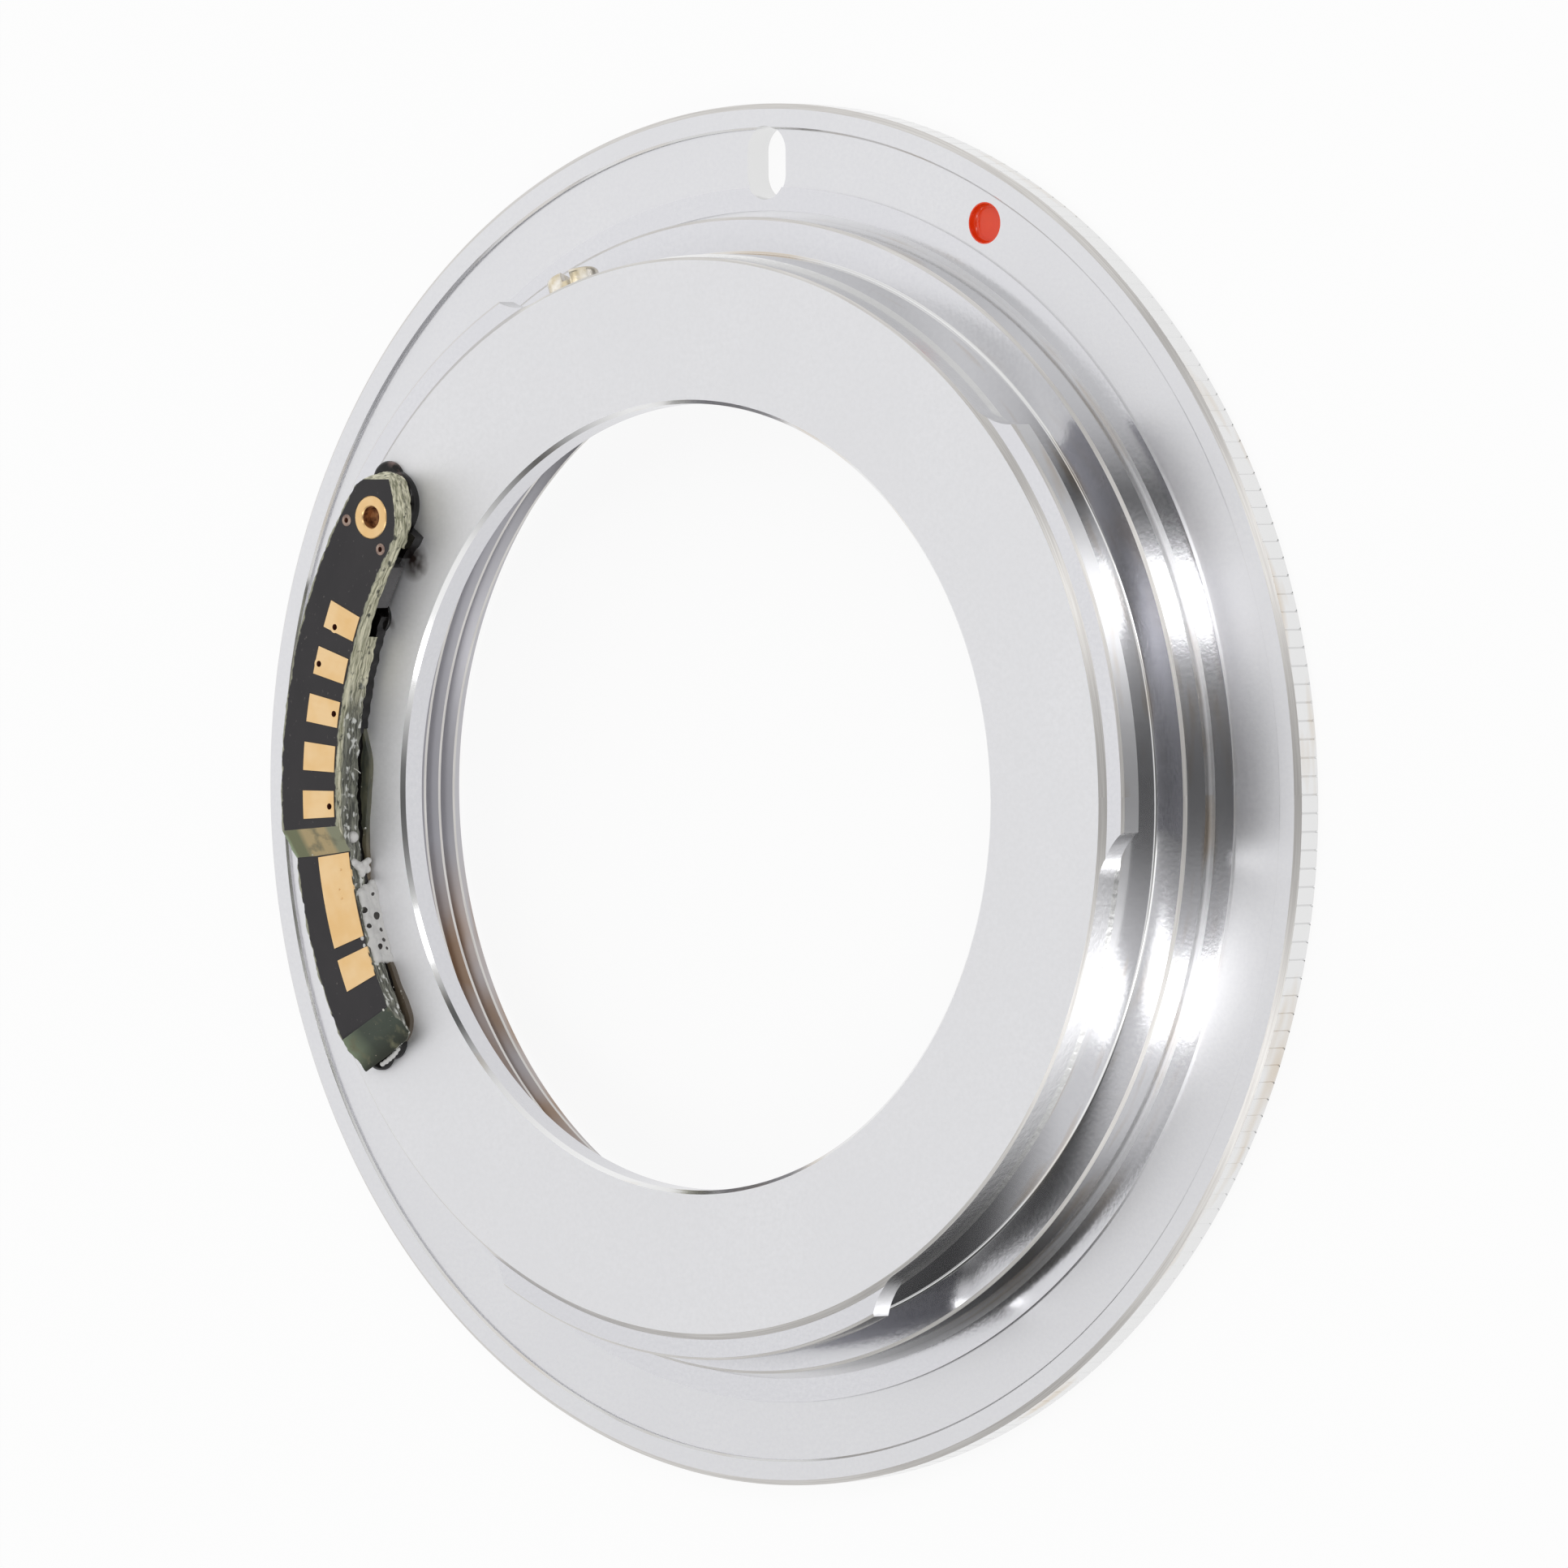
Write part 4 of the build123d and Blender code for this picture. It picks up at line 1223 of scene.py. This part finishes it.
def low_contacts(gold):
    """The long contact, with a few grains of solder on it, and the end contact."""
    bm = pad_block(*LONG_PAD, TOP_LEVEL)
    top = TOP_LEVEL + PAD_PROUD
    for radius, degrees, size in SOLDER_GRAINS:
        place = Matrix.Translation(polar(radius, degrees, top))
        bmesh.ops.create_icosphere(bm, subdivisions=2, radius=size, matrix=place)
    finish_piece(bm, "long_gold_contact", [gold], ["long_contact"])
    bm = pad_block(*END_PAD, TOP_LEVEL)
    finish_piece(bm, "end_gold_contact", [gold], ["end_contact"])


def eyelet(gold, copper):
    """Plated eyelet: a flat gold ring with eased edges, and a bare copper cup."""
    hole, barrel = EYELET_HOLE_RADIUS, EYELET_HOLE_RADIUS + PAD_THICKNESS
    floor = TOP_LEVEL + EYELET_FLOOR
    profile = [
        (0, EYELET_SEAT),
        (barrel, EYELET_SEAT),
        (barrel, PAD_BOTTOM),
        (EYELET_RADIUS, PAD_BOTTOM),
        (EYELET_RADIUS, PAD_TOP - EYELET_EASE),
        (EYELET_RADIUS - EYELET_EASE, PAD_TOP),
        (hole + EYELET_EASE, PAD_TOP),
        (hole, PAD_TOP - EYELET_EASE),
        (hole, floor),
        (0, floor),
    ]
    centre = polar(BOARD_MID_RADIUS, BOARD_START)
    bm = turned(profile, EYELET_STEPS, Matrix.Translation(centre))
    for face in bm.faces:
        middle = face.calc_center_median()
        within = (middle.xy - centre.xy).length < hole + CLOSE
        cup = within and floor - CLOSE < middle.z < PAD_TOP - EYELET_EASE
        face.material_index = 1 if cup else 0
    return finish_piece(bm, "eyelet_ring", [gold, copper], ["eyelet_contact"])


def via_rings(tarnished):
    """Two small tarnished rings round drilled vias."""
    for index, (radius, degrees) in enumerate(VIA_PLACES):
        profile = [
            (VIA_RADIUS, VIA_RING_SEAT),
            (VIA_RING_RADIUS, VIA_RING_SEAT),
            (VIA_RING_RADIUS, PAD_TOP - EYELET_EASE / 2),
            (VIA_RING_RADIUS - EYELET_EASE / 2, PAD_TOP),
            (VIA_RADIUS, PAD_TOP),
        ]
        bm = turned(profile, VIA_RING_STEPS, Matrix.Translation(polar(radius, degrees)))
        finish_piece(bm, f"small_via_{index + 1}", [tarnished], [f"via_ring_{index + 1}"])


def smooth_edge(places):
    """Smooth curve through places given as angles and radii, as close points on the ring's face."""
    knots = [polar(radius, degrees, FACE_LEVEL) for degrees, radius in places]
    ends = [2 * knots[0] - knots[1]] + knots + [2 * knots[-1] - knots[-2]]
    points = [knots[0]]
    # Each knot is left along a sixth of the way between its two neighbours, which keeps the curve smooth
    for before, first, second, after in zip(ends, ends[1:], ends[2:], ends[3:]):
        leaving = first + (second - before) / 6
        arriving = second - (after - first) / 6
        points += interpolate_bezier(first, leaving, arriving, second, CURVE_POINTS)[1:]
    return points


def worn_strip(finish):
    """Thin strip of laminate on the ring's face, with a hand-cut inner edge that bellies out."""
    bm = bmesh.new()
    start, end = STRIP_EDGE[0][0], STRIP_EDGE[-1][0]
    tip = bm.verts.new(polar(STRIP_OUTER_RADIUS, start, FACE_LEVEL))
    for point in smooth_edge(STRIP_EDGE):
        tip = line(bm, tip, point * (1 + STRIP_GRAIN * noise.noise(point)))
    tip = line(bm, tip, polar(STRIP_OUTER_RADIUS, end, FACE_LEVEL))
    arc(bm, tip, (0, 0, FACE_LEVEL), start - end)
    for vert in bm.verts:
        vert.co.z = FACE_LEVEL
    close_outline(bm)
    raise_outline(bm, STRIP_THICKNESS)
    rim = [edge for edge in bm.edges if all(vert.co.z > FACE_LEVEL + CLOSE for vert in edge.verts)]
    ease(bm, rim, STRIP_ROUND)
    return finish_piece(bm, "worn_carrier_strip", [finish], ["carrier_strip"], sharp=50)


def pool(radius, degrees, size, height):
    """Low round pool of resin with a soft rim."""
    profile = [(0, FACE_LEVEL), (size, FACE_LEVEL)]
    soft = POOL_SOFTNESS * height
    profile += quarter(size - soft, FACE_LEVEL + height - soft, soft, 0, 90, POOL_RIM_STEPS)
    profile.append((0, FACE_LEVEL + height))
    return turned(profile, POOL_STEPS, Matrix.Translation(polar(radius, degrees)))


def epoxy_bed(epoxy):
    """Black epoxy under the board, squeezed out past it at both ends and wavy along its inner edge."""
    bm = sector(BED_INNER_RADIUS, BED_OUTER_RADIUS, BOARD_START, BED_END, FACE_LEVEL, BASE_LEVEL)
    for vert in bm.verts:
        if vert.co.xy.length < BOARD_MID_RADIUS:
            degrees = math.degrees(math.atan2(vert.co.y, vert.co.x))
            hollow = BED_HOLLOW[0] < degrees < BED_HOLLOW[1]
            radius = BED_HOLLOW_RADIUS if hollow else BED_INNER_RADIUS
            along = Vector((degrees * BED_WAVES_PER_DEGREE, BED_NOISE_ROW, 0))
            radius += BED_WAVE * noise.noise(along)
            vert.co = polar(radius, degrees, vert.co.z)
    strip = sector(
        BED_INNER_RADIUS - OVERCUT,
        BED_OUTER_RADIUS + OVERCUT,
        STRIP_START,
        STRIP_EDGE[-1][0],
        FACE_LEVEL - OVERCUT,
        FACE_LEVEL + STRIP_THICKNESS,
    )
    bm, used = carve(bm, [(strip, epoxy)], [epoxy])
    pools = [(pool(*place), epoxy) for place in RESIN_POOLS]
    bm, used = carve(bm, pools, used, "UNION")
    return finish_piece(bm, "epoxy_bed", used, ["adhesive_bed"], sharp=45)


def blob(bm, radius, degrees, height, size, flat=1.0):
    """Adds one round lump."""
    turn = Matrix.Rotation(math.radians(degrees), 4, "Z")
    place = Matrix.Translation(polar(radius, degrees, height)) @ turn
    scale = Matrix.Diagonal((1.0, 1.0, flat, 1.0))
    bmesh.ops.create_icosphere(bm, subdivisions=2, radius=size, matrix=place @ scale)


def fused(bm, grain):
    """Fuses overlapping lumps into one skin and softens it."""
    body = to_object(bm, "lumps")
    show(body)
    skin = body.modifiers.new("skin", "REMESH")
    skin.mode = "VOXEL"
    skin.voxel_size = grain
    soft = body.modifiers.new("soft", "SMOOTH")
    soft.factor = SKIN_SOFTNESS
    soft.iterations = SKIN_ROUNDS
    return worked(body)[0]


def sealant(silicone, skin):
    """Lumps of sealant along the board's inner foot, with burst bubbles."""
    bm = bmesh.new()
    for place in SEALANT_DROPS:
        blob(bm, *place)
    lumps = random.Random(7)
    start, end = SEALANT_SPAN
    for index in range(SEALANT_STEPS):
        degrees = start + (end - start) * index / (SEALANT_STEPS - 1)
        for lift, middle in SEALANT_ROWS:
            size = lumps.uniform(*LUMP_SIZES)
            radius = middle + lumps.uniform(-LUMP_STRAY, LUMP_STRAY)
            if lift < SEALANT_FOOT + (degrees - start) / SEALANT_RISE:
                blob(bm, radius, degrees, FACE_LEVEL + lift, size)
    bm = fused(bm, SEALANT_GRAIN)
    everything = bm.verts[:] + bm.edges[:] + bm.faces[:]
    bmesh.ops.bisect_plane(
        bm,
        geom=everything,
        plane_co=(0, 0, FACE_LEVEL),
        plane_no=(0, 0, -1),
        clear_outer=True,
    )
    bmesh.ops.contextual_create(bm, geom=[edge for edge in bm.edges if edge.is_boundary])
    bmesh.ops.recalc_face_normals(bm, faces=bm.faces)
    # The burst bubbles are lined with a dark finish that paints the shade inside them
    bubbles = []
    for place in SEALANT_BUBBLES:
        hole = bmesh.new()
        blob(hole, *place)
        bubbles.append((hole, skin))
    bm, used = carve(bm, bubbles, [silicone])
    return finish_piece(bm, "lumpy_sealant", used, ["sealant_bead"], sharp=60)


def chip_place():
    """Frame at the middle of the controller's top face, with X along the radius."""
    turn = Matrix.Rotation(math.radians(CHIP_ANGLE), 4, "Z")
    radius = BOARD_INNER_RADIUS + CHIP_SETBACK + CHIP_WIDTH / 2
    return Matrix.Translation(polar(radius, CHIP_ANGLE, TOP_LEVEL)) @ turn


def controller(plastic, metal):
    """Moulded chip that hangs in the notch, with eased edges, flat leads and a blob of solder."""
    height = LAMINATE + BED_THICKNESS - CHIP_CLEARANCE
    place = chip_place()
    bm = block(place @ Matrix.Translation((0, 0, -height / 2)), CHIP_WIDTH, CHIP_LENGTH, height)
    ease(bm, bm.edges[:], CHIP_EDGE)
    package = set(bm.faces)
    span = CHIP_LENGTH + 2 * LEAD_REACH
    for index in range(LEAD_COUNT):
        offset = (index - (LEAD_COUNT - 1) / 2) * LEAD_PITCH
        lead = place @ Matrix.Translation((offset, 0, -LEAD_THICKNESS / 2))
        scale = Matrix.Diagonal((LEAD_WIDTH, span, LEAD_THICKNESS, 1.0))
        bmesh.ops.create_cube(bm, size=1.0, matrix=lead @ scale)
    blob(bm, *SOLDER_BLOB)
    for face in bm.faces:
        face.material_index = 0 if face in package else 1
    return finish_piece(bm, "controller_chip", [plastic, metal], ["microcontroller"])


def keep_capacitor(ceramic):
    """The hidden capacitor keeps its modelled shape and gets its own finish."""
    body = bpy.data.objects["ceramic_capacitor"]
    body.data.materials.clear()
    body.data.materials.append(ceramic)


def glass_fibres(fibre):
    """Loose ends of glass fibre and crumbs of laminate that stick out of the sawn edges."""
    bm = bmesh.new()
    for start, middle, end in FIBRES:
        points = [polar(*start), polar(*middle), polar(*end)]
        first = bmesh.ops.create_circle(bm, cap_ends=False, segments=6, radius=FIBRE_RADIUS)["verts"]
        way = (points[1] - points[0]).to_track_quat("Z", "Y").to_matrix().to_4x4()
        bmesh.ops.transform(bm, matrix=Matrix.Translation(points[0]) @ way, verts=first)
        ring = list({edge for vert in first for edge in vert.link_edges})
        bmesh.ops.contextual_create(bm, geom=ring)
        for before, after in zip(points, points[1:]):
            moved = bmesh.ops.extrude_edge_only(bm, edges=ring)["geom"]
            tips = [part for part in moved if isinstance(part, bmesh.types.BMVert)]
            bmesh.ops.translate(bm, verts=tips, vec=after - before)
            ring = [edge for edge in moved if isinstance(edge, bmesh.types.BMEdge)]
        bmesh.ops.contextual_create(bm, geom=ring)
    for radius, degrees, height, size in CRUMBS:
        blob(bm, radius, degrees, height, size, CRUMB_FLATNESS)
    bmesh.ops.recalc_face_normals(bm, faces=bm.faces)
    return finish_piece(bm, "loose_glass_fibres", [fibre])


# Floor, light and camera

FLOOR_SIZE = 6.0
FLOOR_GLOW = 0.9
# The camera's place and axes, solved from the circles in the photo
CAMERA_PLACE = Vector((0.5055506, 0.0116557, 0.5673789))
CAMERA_RIGHT = Vector((0.7463736, -0.0131100, -0.6653981))
CAMERA_UP = Vector((0.0, 0.9998060, -0.0196987))
CAMERA_LENS = 372.67
SENSOR = 36.0
# Brightness of the studio's walls by azimuth, as seen in the ring's upright walls
STUDIO_WALLS = (
    (-180, 1.12),
    (-168, 0.85),
    (-150, 0.35),
    (-130, 0.1),
    (-108, 0.06),
    (-96, 0.14),
    (-84, 0.5),
    (-70, 1.0),
    (-50, 1.05),
    (-30, 0.8),
    (-19, 0.45),
    (-10, 0.18),
    (0, 0.13),
    (10, 0.17),
    (20, 0.36),
    (29, 0.7),
    (42, 1.0),
    (50, 0.6),
    (57, 0.12),
    (62, 0.1),
    (70, 0.5),
    (80, 0.85),
    (100, 1.0),
    (120, 0.82),
    (150, 0.92),
    (180, 1.12),
)
# The walls fade in and out between these elevations. Below them all is evenly pale, and above them brighter
WALLS_FROM = (8.0, 20.0)
WALLS_TO = (70.0, 85.0)
SURROUND = 1.0
CEILING = 1.5
SOFTBOXES = ((38.0, 47.0), (-42.0, 47.0))
SOFTBOX_DISTANCE = 1.2
SOFTBOX_WIDTH = 0.19
SOFTBOX_HEIGHT = 0.6
SOFTBOX_BRIGHTNESS = 3.6


def shine(azimuth, elevation):
    """Direction to a place in the studio."""
    flat = math.cos(math.radians(elevation))
    return polar(flat, azimuth, math.sin(math.radians(elevation)))


def studio_world():
    """Studio walls, bright and dark by azimuth, under a pale ceiling. The camera sees plain white."""
    world = bpy.data.worlds.new("studio")
    bpy.context.scene.world = world
    world.use_nodes = True
    tree = world.node_tree
    tree.nodes.clear()
    way = node(tree, "TexCoord").outputs["Generated"]
    split = node(tree, "SeparateXYZ", {"Vector": way})
    azimuth = node(tree, "Math", {0: split.outputs["Y"], 1: split.outputs["X"]}, operation="ARCTAN2")
    turn = node(tree, "MapRange", {"Value": azimuth, "From Min": -math.pi, "From Max": math.pi})
    walls = node(tree, "ValToRGB", {"Fac": turn})
    stops = walls.color_ramp.elements
    for stop in list(stops)[1:]:
        stops.remove(stop)
    for index, (degrees, brightness) in enumerate(STUDIO_WALLS):
        place = (degrees + 180) / 360
        stop = stops[0] if index == 0 else stops.new(place)
        stop.position = place
        stop.color = (brightness, brightness, brightness, 1)
    low, high = [[math.sin(math.radians(angle)) for angle in pair] for pair in (WALLS_FROM, WALLS_TO)]
    height = split.outputs["Z"]
    above = node(tree, "MapRange", {"Value": height, "From Min": low[0], "From Max": low[1]})
    below = node(tree, "MapRange", {"Value": height, "From Min": high[1], "From Max": high[0]})
    share = node(tree, "Math", {0: above, 1: below}, operation="MULTIPLY")
    around_walls = node(tree, "Mix", {0: above, 2: SURROUND, 3: CEILING})
    strength = node(tree, "Mix", {0: share, 2: around_walls, 3: walls})
    seen = node(tree, "LightPath").outputs["Is Camera Ray"]
    strength = node(tree, "Mix", {0: seen, 2: strength, 3: 1.0})
    background = node(tree, "Background", {"Color": (1, 1, 1, 1), "Strength": strength})
    node(tree, "OutputWorld", {"Surface": background})


def softboxes():
    """Two soft lamps, one each side of the camera."""
    for index, (azimuth, elevation) in enumerate(SOFTBOXES):
        lamp = bpy.data.lights.new(f"softbox_{index + 1}", "AREA")
        lamp.shape = "RECTANGLE"
        lamp.size = SOFTBOX_WIDTH
        lamp.size_y = SOFTBOX_HEIGHT
        lamp.energy = math.pi * SOFTBOX_WIDTH * SOFTBOX_HEIGHT * SOFTBOX_BRIGHTNESS
        holder = bpy.data.objects.new(lamp.name, lamp)
        way = shine(azimuth, elevation)
        holder.location = way * SOFTBOX_DISTANCE
        holder.rotation_euler = way.to_track_quat("Z", "Y").to_euler()
        show(holder)


def floor():
    """Plain pale floor. What the camera and the metal see of it is white, and it keeps the shadow."""
    material, tree = new_material("floor_white")
    path = node(tree, "LightPath")
    rays = {0: path.outputs["Is Camera Ray"], 1: path.outputs["Is Glossy Ray"]}
    seen = node(tree, "Math", rays, operation="MAXIMUM")
    rays = {0: seen, 1: path.outputs["Is Transmission Ray"]}
    seen = node(tree, "Math", rays, operation="MAXIMUM")
    share = node(tree, "Math", {0: seen, 1: FLOOR_GLOW}, operation="MULTIPLY")
    matte = node(tree, "BsdfDiffuse", {"Color": srgb("#FAFAFA")})
    glow = node(tree, "Emission", {"Color": (1, 1, 1, 1), "Strength": 1.0})
    mixed = node(tree, "MixShader", {0: share, 1: matte, 2: glow})
    finished(material, mixed)
    bm = bmesh.new()
    bmesh.ops.create_grid(bm, x_segments=1, y_segments=1, size=FLOOR_SIZE / 2)
    ground = to_object(bm, "studio_floor", [material])
    show(ground)


def camera():
    """Camera at the photograph's place, looking down on the ring, with +Y up in the picture."""
    data = bpy.data.cameras.new("camera")
    data.lens = CAMERA_LENS
    data.sensor_width = SENSOR
    data.clip_start = 0.05
    data.clip_end = 20.0
    holder = bpy.data.objects.new("camera", data)
    back = CAMERA_RIGHT.cross(CAMERA_UP)
    turn = Matrix((CAMERA_RIGHT, CAMERA_UP, back)).transposed().to_4x4()
    holder.matrix_world = Matrix.Translation(CAMERA_PLACE) @ turn
    show(holder)
    bpy.context.scene.camera = holder


face_plate = satin_plate("blasted_nickel_plate", 0.58, 0.66, "#F1F1F3", "#F8F8FA", RESIN_FILMS_AND_SHADE)
flat_plate = satin_plate("satin_nickel_plate", 0.3, 0.38, "#E0E0E3", "#E9E9EB")
# The rubbed plate is darker than the others, partly as painted shade on the lip's wall and the land
rubbed_shaded_plate = satin_plate("rubbed_shaded_nickel_plate", 0.13, 0.2, "#D2D2D6", "#DBDBDE")
wall_plate = turned_plate()
bevel_plate = scraped_plate()
bore_plate = thread_plate()
pocket_plate = milled_plate()
finishes = [face_plate, flat_plate, wall_plate, bevel_plate, bore_plate, rubbed_shaded_plate]
adapter_ring(finishes, pocket_plate)
lens_thread(bore_plate, bevel_plate)
index_dot(red_enamel())
stop_screw(yellowed_plate())

mask = solder_mask()
sawn = sawn_laminate()
filed = filed_laminate()
epoxy = black_epoxy()
gold = gold_plate()
barrel_copper = dull_metal("spotted_barrel_copper", "#6A4028", "#B98558")
via_copper = dull_metal("dark_via_copper", "#5E2E24", "#84503E")
ring_copper = dull_metal("tarnished_ring_copper", "#8A7268", "#B09A8C")
tin = dull_metal("dull_tinned_lead", "#77757A", "#A9A8AB")
top_laminate(mask, sawn, filed, via_copper)
base_laminate(mask, sawn, filed, epoxy)
square_contacts(gold, via_copper)
low_contacts(gold)
eyelet(gold, barrel_copper)
via_rings(ring_copper)
worn_strip(strip_laminate())
epoxy_bed(epoxy)
sealant(pale_sealant(), bubble_painted_shade())
controller(moulded_package(), tin)
glass_fibres(bare_fibre())
keep_capacitor(fired_ceramic())

studio_world()
softboxes()
floor()
camera()
bpy.context.scene.view_settings.view_transform = "Standard"
